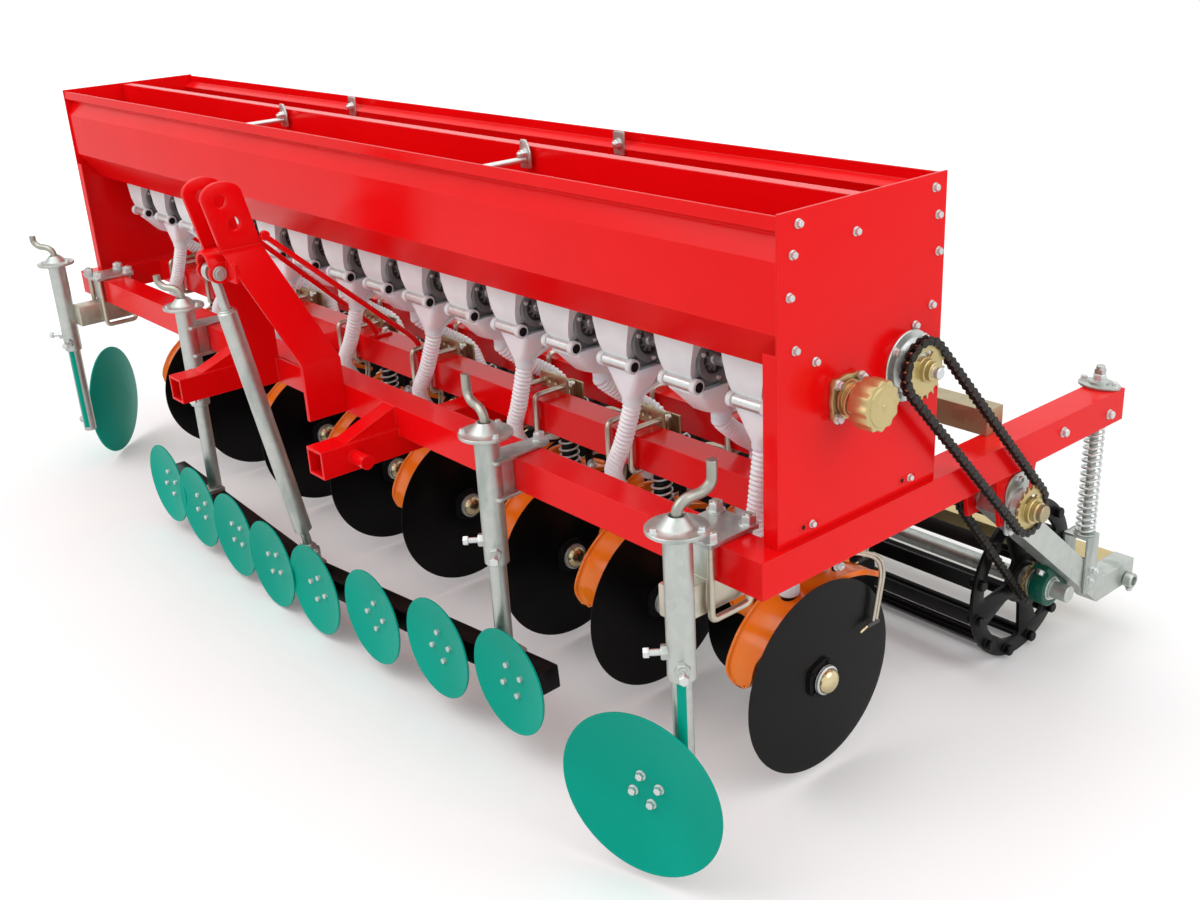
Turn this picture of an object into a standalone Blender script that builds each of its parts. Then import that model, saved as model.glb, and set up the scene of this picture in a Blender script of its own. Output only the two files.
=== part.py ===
"""Mounted disc seed drill: three-point hitch frame, two opener beams with sixteen disc
openers, grain hopper with two rows of metering units, levelling plates on screw jacks,
and a chain-driven cage roller.

Metres. X runs across the machine and the chains are on its positive side, Y runs from
the hitch to the roller, Z is up from the floor. Places are given from the middle of the
machine, the front face of the front beam and the floor, and the datum empty at the end
puts the middle of the outline over the world's origin.
"""
import math
from typing import NamedTuple

import bmesh
import bpy
from mathutils import Matrix, Vector

SEAT_GAP = 0.0003

# Frame tubes
TUBE = 0.060
FRAME_TOP = 0.556
FRAME_BOTTOM = FRAME_TOP - TUBE
FRAME_HALF_WIDTH = 1.282
FRAME_INNER_X = FRAME_HALF_WIDTH - TUBE
RAIL_END_Y = 0.962

# Opener beams, front faces
BEAM_FRONT_Y = (0.204, 0.380)

# Lower hitch tubes
HITCH_TUBE = 0.055
HITCH_WALL = 0.005
HITCH_INNER_X = 0.280
HITCH_FRONT_Y = -0.169
HITCH_REAR_Y = BEAM_FRONT_Y[0] + TUBE
HITCH_TOP = FRAME_TOP - 0.045
HITCH_BORE_END_Y = -0.020
HITCH_PIN_RADIUS = 0.014
HITCH_PIN_LENGTH = 0.045
HITCH_PIN_Y = -0.100
GUSSET_WIDTH = 0.040
GUSSET_START = (-0.110, HITCH_TOP - 0.020)
GUSSET_END = (0.010, FRAME_TOP - 0.020)

# Hopper
HOPPER_FRONT_Y = 0.047
HOPPER_REAR_Y = 0.403
HOPPER_MID_Y = (HOPPER_FRONT_Y + HOPPER_REAR_Y) / 2
HOPPER_TOP = FRAME_TOP + 0.480
HOPPER_BOTTOM = FRAME_TOP + 0.250
HOPPER_RIDGE = 0.060
HOPPER_RIDGE_HALF = 0.016
END_PLATE_INSET = 0.011
END_PLATE_OUTER_X = FRAME_HALF_WIDTH - END_PLATE_INSET
END_PLATE_THICKNESS = 0.004
END_PLATE_INNER_X = END_PLATE_OUTER_X - END_PLATE_THICKNESS
END_FLANGE = 0.028
SHEET = 0.003
DIVIDER_Y = 0.207
DIVIDER_LIP = 0.022

# Metering rows
METER_COUNT = 16
METER_END_GAP = 0.142
METER_FIRST_X = END_PLATE_INNER_X - METER_END_GAP
METER_PITCH = 2 * METER_FIRST_X / (METER_COUNT - 1)
METER_HALF_WIDTH = 0.035
METER_SHAFT_Y = 0.182
METER_SHAFT_Z = FRAME_TOP + 0.198
METER_SHAFT_RADIUS = 0.009
PEG_Y = 0.152
PEG_Z = FRAME_TOP + 0.162
PEG_RADIUS = 0.011
PEG_HALF_LENGTH = 0.034
REAR_SHAFT_Y = 0.330
REAR_SHAFT_Z = FRAME_TOP + 0.205
METER_FLOOR = FRAME_TOP + 0.140

# Funnels and drop tubes: each rank's neck and foot along the machine
FUNNEL_HALF_WIDTH = 0.030
FUNNEL_NECK_Z = FRAME_TOP + 0.050
NECK_Y = (0.205, 0.255)
FOOT_Y = (0.150, 0.322)
HOSE_RADIUS = 0.0155
BOOT_OFFSET = -0.036
BOOT_RADIUS = 0.018
BOOT_TOP = FRAME_TOP - 0.135
BOOT_LENGTH = 0.140

# Disc openers
DISC_RADIUS = 0.175
DISC_HALF_THICKNESS = 0.002
DISC_Z = FRAME_TOP - 0.362
DISC_BEHIND_BEAM = 0.072
HUB_RADIUS = 0.027
HUB_FRONT = 0.034
HUB_BACK = 0.020
FRONT_DISCS_X = (1.154, 0.760, 0.490, 0.127, -0.178, -0.514, -0.870, -1.095)
REAR_DISCS_X = (0.990, 0.885, 0.625, 0.310, -0.025, -0.345, -0.690, -0.975)
SHANK_OFFSET = -0.062
SHANK_WIDTH = 0.048
SHANK_THICKNESS = 0.010
LEVER_REACH = 0.062
BRACKET_HALF_WIDTH = 0.038
BRACKET_THICKNESS = 0.008
BRACKET_TOP = FRAME_TOP + 0.035
BRACKET_BOTTOM = FRAME_TOP - 0.135
CHEEK = 0.006
CHEEK_DEPTH = 0.045
CHEEK_HALF_GAP = 0.019
CHEEK_TOP = BRACKET_TOP - 0.010
CHEEK_BOTTOM = BRACKET_BOTTOM - 0.040
CLAMP_STRIP = (FRAME_BOTTOM + 0.012, FRAME_BOTTOM + 0.036)
OPENER_SPRING_RADIUS = 0.022
OPENER_SPRING_OFFSET = -0.045
OPENER_SPRING_SETBACK = 0.028
OPENER_SPRING_TOP = FRAME_TOP - 0.050
OPENER_SPRING_FOOT = FRAME_TOP - 0.168

# Levelling gang: two bars that meet in a shallow V, each plate at its own place across
GANG_PLATES_X = (-0.657, -0.478, -0.286, -0.101, 0.088, 0.309, 0.532, 0.747)
GANG_BAR_END = 0.055
GANG_JOINT_X = -0.020
GANG_ENDS_Y = (-0.0947, -0.0765)
GANG_JOINT_Y = -0.105
GANG_ENDS_Z = (FRAME_TOP - 0.4229, FRAME_TOP - 0.3881)
GANG_DISC_RADIUS = 0.100
GANG_DISH = 0.012
GANG_PLATE = 0.004
GANG_BAR = 0.045
GANG_BAR_SETBACK = 0.0465
GANG_SEAT_HALF = 0.024
GANG_SEAT_RISE = 0.030
GANG_BOSS = 0.020

# Jacks
JACK_TUBE_RADIUS = 0.022
JACK_ROD_RADIUS = 0.016
JACK_FLANGE_RADIUS = 0.047
JACK_FLANGE = 0.008
JACK_TOP = FRAME_TOP + 0.052
JACK_TUBE_BOTTOM = FRAME_TOP - 0.190
JACK_CONE_RADII = (0.026, 0.012)
JACK_CONE = 0.014
JACK_CLAMP = 0.012
CRANK_RADIUS = 0.0075
CRANK_REACH = 0.060
OUTER_CLAMP_INSET = 0.127
OUTER_CLAMP_X = FRAME_HALF_WIDTH - OUTER_CLAMP_INSET
OUTER_CLAMP_HALF = 0.045
OUTER_CLAMP_LAP = 0.022
OUTER_ARM_REAR_Y = 0.095
OUTER_ARM_HALF = 0.025
OUTER_ARM_DEPTH = 0.055
OUTER_DISH = 0.020
OUTER_PLATE = 0.005
SEAT_RADIUS = 0.032
SEAT_BOSS_RADIUS = 0.026
SEAT_BOSS = 0.012
PLATE_ARM_RADIUS = 0.0085

# Mast and top link brace
MAST_TOP = FRAME_TOP + 0.420
MAST_BEND = FRAME_TOP + 0.290
MAST_FOOT = FRAME_TOP + 0.060
MAST_HALF_GAP = 0.035
MAST_SPREAD = 0.137
MAST_PLATE = 0.010
MAST_WIDTH = 0.085
MAST_TOP_Y = -0.193
MAST_BEND_Y = -0.170
MAST_HOLE_RADIUS = 0.0127
MAST_HOLES = ((-0.156, FRAME_TOP + 0.384), (-0.134, FRAME_TOP + 0.338))
MAST_FOOT_PLATE = 0.008
LINK_TOP = Vector((0.0, -0.174, FRAME_TOP + 0.246))
LINK_PIN_RADIUS = 0.009
LINK_PIN_HALF = 0.036
LINK_EAR = 0.008
LINK_EAR_GAP = 0.022
LINK_EAR_HALF_HEIGHT = 0.020
LINK_YOKE_HALF = 0.066
LINK_YOKE_Y = (-0.158, -0.146)
LINK_FOOT_RISE = 0.022
LINK_FOOT_HALF = 0.014
LINK_FOOT_NECK = 0.052
LINK_HEAD_NECK = 0.040
LINK_RADIUS = 0.019
LINK_NECK = 0.010
LINK_EYE_HALF = 0.022

# Drive
CHAIN_REACH = 0.029
CHAIN_X = END_PLATE_OUTER_X + CHAIN_REACH
UPPER_SPROCKET_RADIUS = 0.044
COUNTER_Y = 0.645
COUNTER_Z = FRAME_TOP - 0.130
COUNTER_RADIUS = 0.015
COUNTER_SPROCKET_RADIUS = 0.042
INNER_CHAIN_INSET = 0.096
INNER_CHAIN_X = FRAME_HALF_WIDTH - INNER_CHAIN_INSET
INNER_SPROCKET_RADIUS = 0.040
SPROCKET_HALF = 0.003
CHAIN_WIDTH = 0.010
CHAIN_HEIGHT = 0.012
CHAIN_SLACK = 0.0007
DRIVE_DISH_RADIUS = 0.055
DRIVE_DOME_RADII = (0.042, 0.024)
DRIVE_DOME = 0.024
DRIVE_HUB_RADIUS = 0.018
KNOB_RADIUS = 0.038
KNOB_NECK_RADIUS = 0.024
KNOB_REACH = 0.074
KNOB_FACE_X = END_PLATE_OUTER_X + KNOB_REACH
KNOB_FLANGE = 0.008
SPROCKET_SHAFT_STUB = 0.030
SPROCKET_HUB_STUB = 0.020
COUNTER_FLANGE_RADII = (0.034, 0.022)
COUNTER_FLANGE = 0.015
KNOB_DEPTH = 0.038

# Hangers of the counter shaft, plates outside and inside the roller arm
HANGER_PLATE = 0.008
HANGER_INSETS = (0.084, 0.020)
HANGER_PLATES = tuple(
    (FRAME_HALF_WIDTH - inset, FRAME_HALF_WIDTH - inset + HANGER_PLATE) for inset in HANGER_INSETS)
HANGER_WEB = 0.006
HANGER_HALF_TOP = 0.060
HANGER_HALF_FOOT = 0.040
HANGER_DROP = 0.030

# Cage roller
ROLLER_RADIUS = 0.1625
ROLLER_Y = 0.862
ROLLER_Z = ROLLER_RADIUS
ROLLER_PLATE_INSET = 0.122
ROLLER_PLATE_X = FRAME_HALF_WIDTH - ROLLER_PLATE_INSET
ROLLER_PLATE = 0.008
ROLLER_BAR_RADIUS = 0.011
ROLLER_BAR_INSET = 0.013
ROLLER_BAR_RING = ROLLER_RADIUS - ROLLER_BAR_INSET
ROLLER_BAR_STUB = 0.016
ROLLER_BAR_END_X = ROLLER_PLATE_X + ROLLER_BAR_STUB
ROLLER_BARS = 12
ROLLER_FIRST_BAR_DEG = 15.0
ROLLER_SPOKES = 6
ROLLER_FIRST_SPOKE_DEG = 15.0
ROLLER_SPOKE_HALF = 0.014
ROLLER_SHAFT_RADIUS = 0.0165
ROLLER_SHAFT_INSET = 0.016
ROLLER_SHAFT_END_X = FRAME_HALF_WIDTH - ROLLER_SHAFT_INSET
ROLLER_HUB_RADIUS = 0.036
ROLLER_RIM_WIDTH = 0.034
ROLLER_SPROCKET_RADIUS = 0.0385
ROLLER_COLLAR_RADIUS = 0.028
BEARING_INSET = 0.052
BEARING_WIDTH = 0.031
BEARING_RADIUS = 0.036
BEARING_HALF_LENGTH = 0.048
BEARING_BASE = 0.012
BORE_CLEARANCE = 0.0006

# Roller arms: from the counter shaft down to a bend, then level to the rear
ARM_INSET = 0.026
ARM_WIDTH = 0.042
ARM_X = (FRAME_HALF_WIDTH - ARM_INSET - ARM_WIDTH, FRAME_HALF_WIDTH - ARM_INSET)
ARM_DEPTH = 0.048
ARM_START_LEAD = 0.018
ARM_START_RISE = 0.007
ARM_BEND_LEAD = 0.132
ARM_BEND_Y = ROLLER_Y + ARM_BEND_LEAD
ARM_FOOT_LENGTH = 0.124
ARM_END_Y = ARM_BEND_Y + ARM_FOOT_LENGTH
ARM_FOOT_DROP = 0.0435
ARM_FOOT_Z = ROLLER_Z - ARM_FOOT_DROP
ARM_PATH = (
    (COUNTER_Y - ARM_START_LEAD, COUNTER_Z + ARM_START_RISE), (ARM_BEND_Y, ARM_FOOT_Z), (ARM_END_Y, ARM_FOOT_Z))
CROSS_BAR_INSET = 0.004
CROSS_BAR_DEPTH = 0.062
CROSS_BAR_Y = (ARM_END_Y - CROSS_BAR_INSET - CROSS_BAR_DEPTH, ARM_END_Y - CROSS_BAR_INSET)
SPRING_ROD_INSET = 0.040
SPRING_ROD_X = FRAME_HALF_WIDTH - SPRING_ROD_INSET
SPRING_ROD_LEAD = 0.080
SPRING_ROD_Y = ROLLER_Y + SPRING_ROD_LEAD
SPRING_ROD_RADIUS = 0.007
SPRING_ROD_STUB = 0.050
SPRING_ROD_TOP = FRAME_TOP + SPRING_ROD_STUB
ROD_SPRING_RADIUS = 0.018
ROD_CAP_RADIUS = 0.027
CLEVIS_TOP_RISE = 0.137
CLEVIS_FOOT_RISE = 0.017
CLEVIS_TOP = ARM_FOOT_Z + CLEVIS_TOP_RISE
CLEVIS_BOTTOM = ARM_FOOT_Z + CLEVIS_FOOT_RISE
CLEVIS_HALF_DEPTH = 0.020
CLEVIS_PLATE = 0.005

# Footboard
STEP_Y = 0.600
STEP = 0.045
STEP_INSET = 0.047
STEP_HALF_LENGTH = FRAME_HALF_WIDTH - STEP_INSET


class Jack(NamedTuple):
    """An inner screw jack: its place, which way its crank points and how high the grip stands."""

    name: str
    x: float
    y: float
    crank_deg: float
    grip: float


class SideJack(NamedTuple):
    """An outer screw jack, and its dished plate with the plate's place from the post."""

    name: str
    plate_name: str
    side: int
    inset: float
    y: float
    crank_deg: float
    grip: float
    plate_out: float
    plate_back: float
    plate_z: float
    radius: float
    heading_deg: float
    seat_side: int


INNER_JACKS = (
    Jack("jack_inner_right", 0.690, -0.042, 171.0, 0.068),
    Jack("jack_inner_left", -0.500, -0.042, 211.0, 0.050),
)
SIDE_JACKS = (
    SideJack("jack_outer_right", "side_disc_right", 1, 0.092, -0.075, 78.0, 0.068,
             -0.045, -0.051, 0.160, 0.142, -74.0, -1),
    SideJack("jack_outer_left", "side_disc_left", -1, 0.082, -0.088, 210.0, 0.050,
             0.120, 0.124, 0.158, 0.152, -134.8, 1),
)
PLATE_ARM_KNEE = (0.025, -0.012)

RED = ("enamel_red", (0.78, 0.012, 0.012), 0.0, 0.22)
ORANGE = ("enamel_orange", (0.93, 0.22, 0.015), 0.0, 0.28)
GREEN = ("enamel_green", (0.0, 0.36, 0.26), 0.0, 0.32)
DARK_GREEN = ("dark_green", (0.02, 0.10, 0.08), 0.2, 0.4)
ZINC = ("zinc", (0.52, 0.55, 0.53), 0.85, 0.38)
YELLOW_ZINC = ("yellow_zinc", (0.50, 0.40, 0.20), 0.85, 0.36)
BLACK = ("disc_black", (0.012, 0.012, 0.013), 0.3, 0.35)
WHITE = ("hose_white", (0.82, 0.82, 0.84), 0.0, 0.4)
CHAIN = ("chain_black", (0.02, 0.018, 0.017), 0.6, 0.4)


def clear_scene():
    for obj in list(bpy.data.objects):
        bpy.data.objects.remove(obj, do_unlink=True)


def make_collection(name, shown=True):
    collection = bpy.data.collections.new(name)
    collection.hide_render = not shown
    bpy.context.scene.collection.children.link(collection)
    return collection


def make_material(finish):
    name, colour, metallic, roughness = finish
    material = bpy.data.materials.get(name)
    if material is None:
        material = bpy.data.materials.new(name)
        material.use_nodes = True
        shader = material.node_tree.nodes["Principled BSDF"]
        shader.inputs["Base Color"].default_value = (*colour, 1.0)
        shader.inputs["Metallic"].default_value = metallic
        shader.inputs["Roughness"].default_value = roughness
        material.diffuse_color = (*colour, 1.0)
    return material


def mesh_object(name, bm):
    mesh = bpy.data.meshes.new(name)
    bm.to_mesh(mesh)
    bm.free()
    return bpy.data.objects.new(name, mesh)


def block(low, high):
    """A box between two corners."""
    low, high = Vector(low), Vector(high)
    bm = bmesh.new()
    place = Matrix.Translation((low + high) / 2) @ Matrix.Diagonal((*(high - low), 1.0))
    bmesh.ops.create_cube(bm, size=1.0, matrix=place)
    return mesh_object("block", bm)


def along(start, end):
    """The placement whose Z runs from start to end, at their middle."""
    start, end = Vector(start), Vector(end)
    turn = (end - start).to_track_quat("Z", "Y").to_matrix().to_4x4()
    return Matrix.Translation((start + end) / 2) @ turn


def rod(start, end, radius, sides=12, end_radius=None):
    """A round bar, or a cone where the end radius differs."""
    bm = bmesh.new()
    bmesh.ops.create_cone(
        bm, cap_ends=True, segments=sides, radius1=radius,
        radius2=radius if end_radius is None else end_radius,
        depth=(Vector(end) - Vector(start)).length, matrix=along(start, end))
    return mesh_object("rod", bm)


def settled(obj, place=None):
    """The plain mesh of a curve or of an object with a modifier, moved by a matrix."""
    bpy.context.scene.collection.objects.link(obj)
    graph = bpy.context.evaluated_depsgraph_get()
    mesh = bpy.data.meshes.new_from_object(obj.evaluated_get(graph))
    bpy.data.objects.remove(obj, do_unlink=True)
    bm = bmesh.new()
    bm.from_mesh(mesh)
    bmesh.ops.remove_doubles(bm, verts=bm.verts, dist=1e-6)
    if place is not None:
        bmesh.ops.transform(bm, matrix=place, verts=bm.verts)
    bmesh.ops.recalc_face_normals(bm, faces=bm.faces)
    return mesh_object("settled", bm)


def bar_between(start, end, width, depth):
    """A rectangular bar from one point to another: width lies across X, depth along it."""
    bm = bmesh.new()
    length = (Vector(end) - Vector(start)).length
    place = along(start, end) @ Matrix.Diagonal((width, depth, length, 1.0))
    bmesh.ops.create_cube(bm, size=1.0, matrix=place)
    return mesh_object("bar", bm)


def bent_tube(points, radius, resolution=1):
    """A round bar along a polyline, capped at both ends."""
    curve = bpy.data.curves.new("path", "CURVE")
    curve.dimensions = "3D"
    curve.bevel_depth = radius
    curve.bevel_resolution = resolution
    curve.use_fill_caps = True
    spline = curve.splines.new("POLY")
    spline.points.add(len(points) - 1)
    for point, place in zip(spline.points, points):
        point.co = (*place, 1.0)
    return settled(bpy.data.objects.new("path", curve))


def loft(sections):
    """A closed solid through four-cornered sections, for folded straps."""
    bm = bmesh.new()
    rings = [[bm.verts.new(corner) for corner in section] for section in sections]
    for one, two in zip(rings, rings[1:]):
        for step in range(4):
            after = (step + 1) % 4
            bm.faces.new((one[step], one[after], two[after], two[step]))
    bm.faces.new(rings[0])
    bm.faces.new(rings[-1])
    bmesh.ops.recalc_face_normals(bm, faces=bm.faces)
    return mesh_object("loft", bm)


def flat_plate(outline, thickness, place):
    """A flat outline given in its own plane, as thick as asked, placed by a matrix."""
    curve = bpy.data.curves.new("outline", "CURVE")
    curve.dimensions = "2D"
    curve.fill_mode = "BOTH"
    curve.extrude = thickness / 2
    spline = curve.splines.new("POLY")
    spline.points.add(len(outline) - 1)
    for point, (u, v) in zip(spline.points, outline):
        point.co = (u, v, 0.0, 1.0)
    spline.use_cyclic_u = True
    return settled(bpy.data.objects.new("outline", curve), place)


def side_plate(outline, x_low, x_high):
    """An outline in Y and Z, from one X to another."""
    place = Matrix.Translation(((x_low + x_high) / 2, 0, 0)) @ Matrix(
        ((0, 0, 1, 0), (1, 0, 0, 0), (0, 1, 0, 0), (0, 0, 0, 1)))
    return flat_plate(outline, x_high - x_low, place)


def turned(profile, steps, place):
    """A solid of revolution: the profile lists radius and height down its outer side."""
    mesh = bpy.data.meshes.new("profile")
    edges = [(index, index + 1) for index in range(len(profile) - 1)]
    mesh.from_pydata([(radius, 0.0, height) for radius, height in profile], edges, [])
    obj = bpy.data.objects.new("profile", mesh)
    screw = obj.modifiers.new("turn", "SCREW")
    screw.steps = steps
    screw.render_steps = steps
    screw.use_merge_vertices = True
    screw.merge_threshold = 0.00005
    return settled(obj, place)


def axis_place(centre, axis):
    return Matrix.Translation(centre) @ Vector(axis).to_track_quat("Z", "Y").to_matrix().to_4x4()


class Shop:
    """Joins loose shapes into named pieces and keeps the finished ones."""

    def __init__(self):
        self.parts = make_collection("seed_drill")
        self.cutters = make_collection("cutters", shown=False)
        self.pieces = []

    def boolean(self, base, others, operation):
        helper = bpy.data.collections.new("operands")
        self.cutters.children.link(helper)
        for other in others:
            other.display_type = "WIRE"
            other.hide_render = True
            helper.objects.link(other)
        modifier = base.modifiers.new(operation.lower(), "BOOLEAN")
        modifier.operation = operation
        modifier.operand_type = "COLLECTION"
        modifier.collection = helper
        modifier.solver = "EXACT"
        graph = bpy.context.evaluated_depsgraph_get()
        mesh = bpy.data.meshes.new_from_object(base.evaluated_get(graph))
        base.modifiers.clear()
        base.data = mesh
        for other in others:
            bpy.data.objects.remove(other, do_unlink=True)
        bpy.data.collections.remove(helper)

    def piece(self, name, finish, shapes, cuts=(), origin=None, smooth=30.0):
        base = shapes[0]
        base.name = name
        self.parts.objects.link(base)
        if len(shapes) > 1:
            self.boolean(base, shapes[1:], "UNION")
        if cuts:
            self.boolean(base, list(cuts), "DIFFERENCE")
        base.data.name = name
        base.data.materials.clear()
        base.data.materials.append(make_material(finish))
        base.data.shade_smooth()
        base.data.set_sharp_from_angle(angle=math.radians(smooth))
        if origin is not None:
            base.data.transform(Matrix.Translation(-Vector(origin)))
            base.location = origin
        self.pieces.append(base)
        return base


def across(side, near, far):
    """Two X values on one side of the machine, the smaller first."""
    return sorted((side * near, side * far))


def build_frame(shop):
    low, high = FRAME_BOTTOM, FRAME_TOP
    shapes = [block((-FRAME_HALF_WIDTH, 0, low), (FRAME_HALF_WIDTH, TUBE, high))]
    cuts = []
    pin_z = HITCH_TOP - HITCH_TUBE / 2
    for side in (-1, 1):
        left, right = across(side, FRAME_INNER_X, FRAME_HALF_WIDTH)
        shapes.append(block((left, TUBE / 2, low), (right, RAIL_END_Y, high)))
        far = HITCH_INNER_X + HITCH_TUBE
        left, right = across(side, HITCH_INNER_X, far)
        shapes.append(block((left, HITCH_FRONT_Y, HITCH_TOP - HITCH_TUBE), (right, HITCH_REAR_Y, HITCH_TOP)))
        shapes.append(rod((side * (far - HITCH_WALL), HITCH_PIN_Y, pin_z),
                          (side * (far + HITCH_PIN_LENGTH), HITCH_PIN_Y, pin_z), HITCH_PIN_RADIUS))
        middle = (left + right) / 2
        shapes.append(bar_between((middle, *GUSSET_START), (middle, *GUSSET_END), GUSSET_WIDTH, GUSSET_WIDTH))
        left, right = across(side, HITCH_INNER_X + HITCH_WALL, far - HITCH_WALL)
        cuts.append(block((left, HITCH_FRONT_Y - HITCH_WALL, HITCH_TOP - HITCH_TUBE + HITCH_WALL),
                          (right, HITCH_BORE_END_Y, HITCH_TOP - HITCH_WALL)))
        x = side * SPRING_ROD_X
        cuts.append(rod((x, SPRING_ROD_Y, low - TUBE), (x, SPRING_ROD_Y, high + TUBE),
                        SPRING_ROD_RADIUS + BORE_CLEARANCE))
    reach = FRAME_HALF_WIDTH - TUBE / 2
    for front in BEAM_FRONT_Y:
        shapes.append(block((-reach, front, low), (reach, front + TUBE, high)))
    shop.piece("main_frame", RED, shapes, cuts)


def hopper_outline():
    """The hopper's cross-section in Y and Z, from the front lip to the rear lip."""
    front = (
        (HOPPER_FRONT_Y, HOPPER_TOP),
        (HOPPER_FRONT_Y, HOPPER_TOP - 0.018),
        (HOPPER_FRONT_Y + 0.020, HOPPER_TOP - 0.028),
        (HOPPER_FRONT_Y + 0.002, HOPPER_TOP - 0.062),
        (HOPPER_FRONT_Y + 0.003, HOPPER_TOP - 0.162),
        (HOPPER_FRONT_Y + 0.053, HOPPER_BOTTOM),
    )
    rear = [(2 * HOPPER_MID_Y - y, z) for y, z in reversed(front)]
    middle = [
        (HOPPER_MID_Y - HOPPER_RIDGE_HALF, HOPPER_BOTTOM),
        (HOPPER_MID_Y, HOPPER_BOTTOM + HOPPER_RIDGE),
        (HOPPER_MID_Y + HOPPER_RIDGE_HALF, HOPPER_BOTTOM)]
    return list(front) + middle + rear


def build_hopper(shop):
    reach = END_PLATE_INNER_X - SEAT_GAP
    bm = bmesh.new()
    chain = [bm.verts.new((-reach, y, z)) for y, z in hopper_outline()]
    edges = [bm.edges.new(pair) for pair in zip(chain, chain[1:])]
    made = bmesh.ops.extrude_edge_only(bm, edges=edges)
    moved = [item for item in made["geom"] if isinstance(item, bmesh.types.BMVert)]
    bmesh.ops.translate(bm, verts=moved, vec=(2 * reach, 0, 0))
    bmesh.ops.recalc_face_normals(bm, faces=bm.faces)
    shell = mesh_object("hopper_shell", bm)
    sheet = shell.modifiers.new("sheet", "SOLIDIFY")
    sheet.thickness = SHEET
    sheet.offset = 0.0
    sheet.use_even_offset = True
    shop.piece("hopper_shell", RED, [shell], smooth=20.0)

    front, rear = HOPPER_FRONT_Y - SHEET, HOPPER_REAR_Y + SHEET
    foot = FRAME_TOP + SEAT_GAP
    for side, name in ((1, "hopper_end_right"), (-1, "hopper_end_left")):
        low, high = across(side, END_PLATE_INNER_X, END_PLATE_OUTER_X)
        outline = ((front, foot), (rear, foot), (rear, HOPPER_TOP + SHEET), (front, HOPPER_TOP + SHEET))
        shapes = [side_plate(outline, low, high)]
        low, high = across(side, END_PLATE_OUTER_X - END_FLANGE, END_PLATE_OUTER_X)
        for y in (front, rear - END_PLATE_THICKNESS):
            shapes.append(block((low, y, foot), (high, y + END_PLATE_THICKNESS, HOPPER_BOTTOM + 0.040)))
        shop.piece(name, RED, shapes)

    floor = HOPPER_BOTTOM + HOPPER_RIDGE + 2 * SHEET
    half = SHEET / 2
    divider = [
        block((-reach, DIVIDER_Y - half, floor), (reach, DIVIDER_Y + half, HOPPER_TOP)),
        block((-reach, DIVIDER_Y - half, HOPPER_TOP - SHEET), (reach, DIVIDER_Y + DIVIDER_LIP, HOPPER_TOP)),
    ]
    shop.piece("hopper_divider", RED, divider)


def meter_outlines():
    """The front meter housing, the rear one and the funnel below both, in Y and Z."""
    roof = HOPPER_BOTTOM - SHEET
    front = (
        (METER_SHAFT_Y - 0.048, roof), (METER_SHAFT_Y - 0.048, METER_SHAFT_Z - 0.020),
        (PEG_Y - 0.016, PEG_Z - 0.016), (PEG_Y + 0.010, METER_FLOOR - 0.010),
        (METER_SHAFT_Y + 0.030, METER_FLOOR), (METER_SHAFT_Y + 0.034, roof))
    rear = (
        (REAR_SHAFT_Y - 0.036, roof), (REAR_SHAFT_Y - 0.034, METER_FLOOR),
        (REAR_SHAFT_Y + 0.010, METER_FLOOR - 0.010), (REAR_SHAFT_Y + 0.040, METER_SHAFT_Z - 0.020),
        (REAR_SHAFT_Y + 0.040, roof))
    return front, rear


def funnel_outline(neck_y):
    """A drop funnel's two inlets meeting at its neck, in Y and Z."""
    top = METER_FLOOR + 0.004
    return (
        (PEG_Y, top), (METER_SHAFT_Y + 0.028, top), (HOPPER_MID_Y + 0.012, FUNNEL_NECK_Z + 0.060),
        (REAR_SHAFT_Y - 0.030, top), (REAR_SHAFT_Y + 0.012, top),
        (REAR_SHAFT_Y + 0.012, top - 0.022), (neck_y + HOSE_RADIUS, FUNNEL_NECK_Z - 0.006),
        (neck_y - HOSE_RADIUS, FUNNEL_NECK_Z - 0.006), (PEG_Y, top - 0.022))


def drop_targets():
    """Each drop tube's opener, in order from the right: rank and place across."""
    openers = [(x, rank) for rank, row in enumerate((FRONT_DISCS_X, REAR_DISCS_X)) for x in row]
    return sorted(openers, reverse=True)


def build_meters(shop):
    inside = END_PLATE_INNER_X - SEAT_GAP
    shapes = [
        rod((-inside, METER_SHAFT_Y, METER_SHAFT_Z), (inside, METER_SHAFT_Y, METER_SHAFT_Z),
            METER_SHAFT_RADIUS, sides=8),
        rod((-inside, REAR_SHAFT_Y, REAR_SHAFT_Z), (inside, REAR_SHAFT_Y, REAR_SHAFT_Z),
            METER_SHAFT_RADIUS, sides=8)]
    front, rear = meter_outlines()
    for index, (disc_x, rank) in enumerate(drop_targets()):
        x = METER_FIRST_X - METER_PITCH * index
        neck_y, foot_y = NECK_Y[rank], FOOT_Y[rank]
        shapes.append(side_plate(front, x - METER_HALF_WIDTH, x + METER_HALF_WIDTH))
        shapes.append(side_plate(rear, x - METER_HALF_WIDTH, x + METER_HALF_WIDTH))
        shapes.append(side_plate(funnel_outline(neck_y), x - FUNNEL_HALF_WIDTH, x + FUNNEL_HALF_WIDTH))
        shapes.append(rod((x - PEG_HALF_LENGTH, PEG_Y, PEG_Z), (x + PEG_HALF_LENGTH + 0.010, PEG_Y, PEG_Z),
                          PEG_RADIUS, sides=6))
        foot_x = disc_x + BOOT_OFFSET
        shapes.append(bent_tube((
            (x, neck_y, FUNNEL_NECK_Z + 0.006),
            (x + (foot_x - x) * 0.5, neck_y + (foot_y - neck_y) * 0.25, FUNNEL_NECK_Z - 0.020),
            (x + (foot_x - x) * 0.8, foot_y, FUNNEL_NECK_Z - 0.068),
            (foot_x, foot_y, FUNNEL_NECK_Z - 0.125),
            (foot_x, foot_y, BOOT_TOP + SEAT_GAP)), HOSE_RADIUS))
    shop.piece("meter_row", WHITE, shapes)


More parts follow.
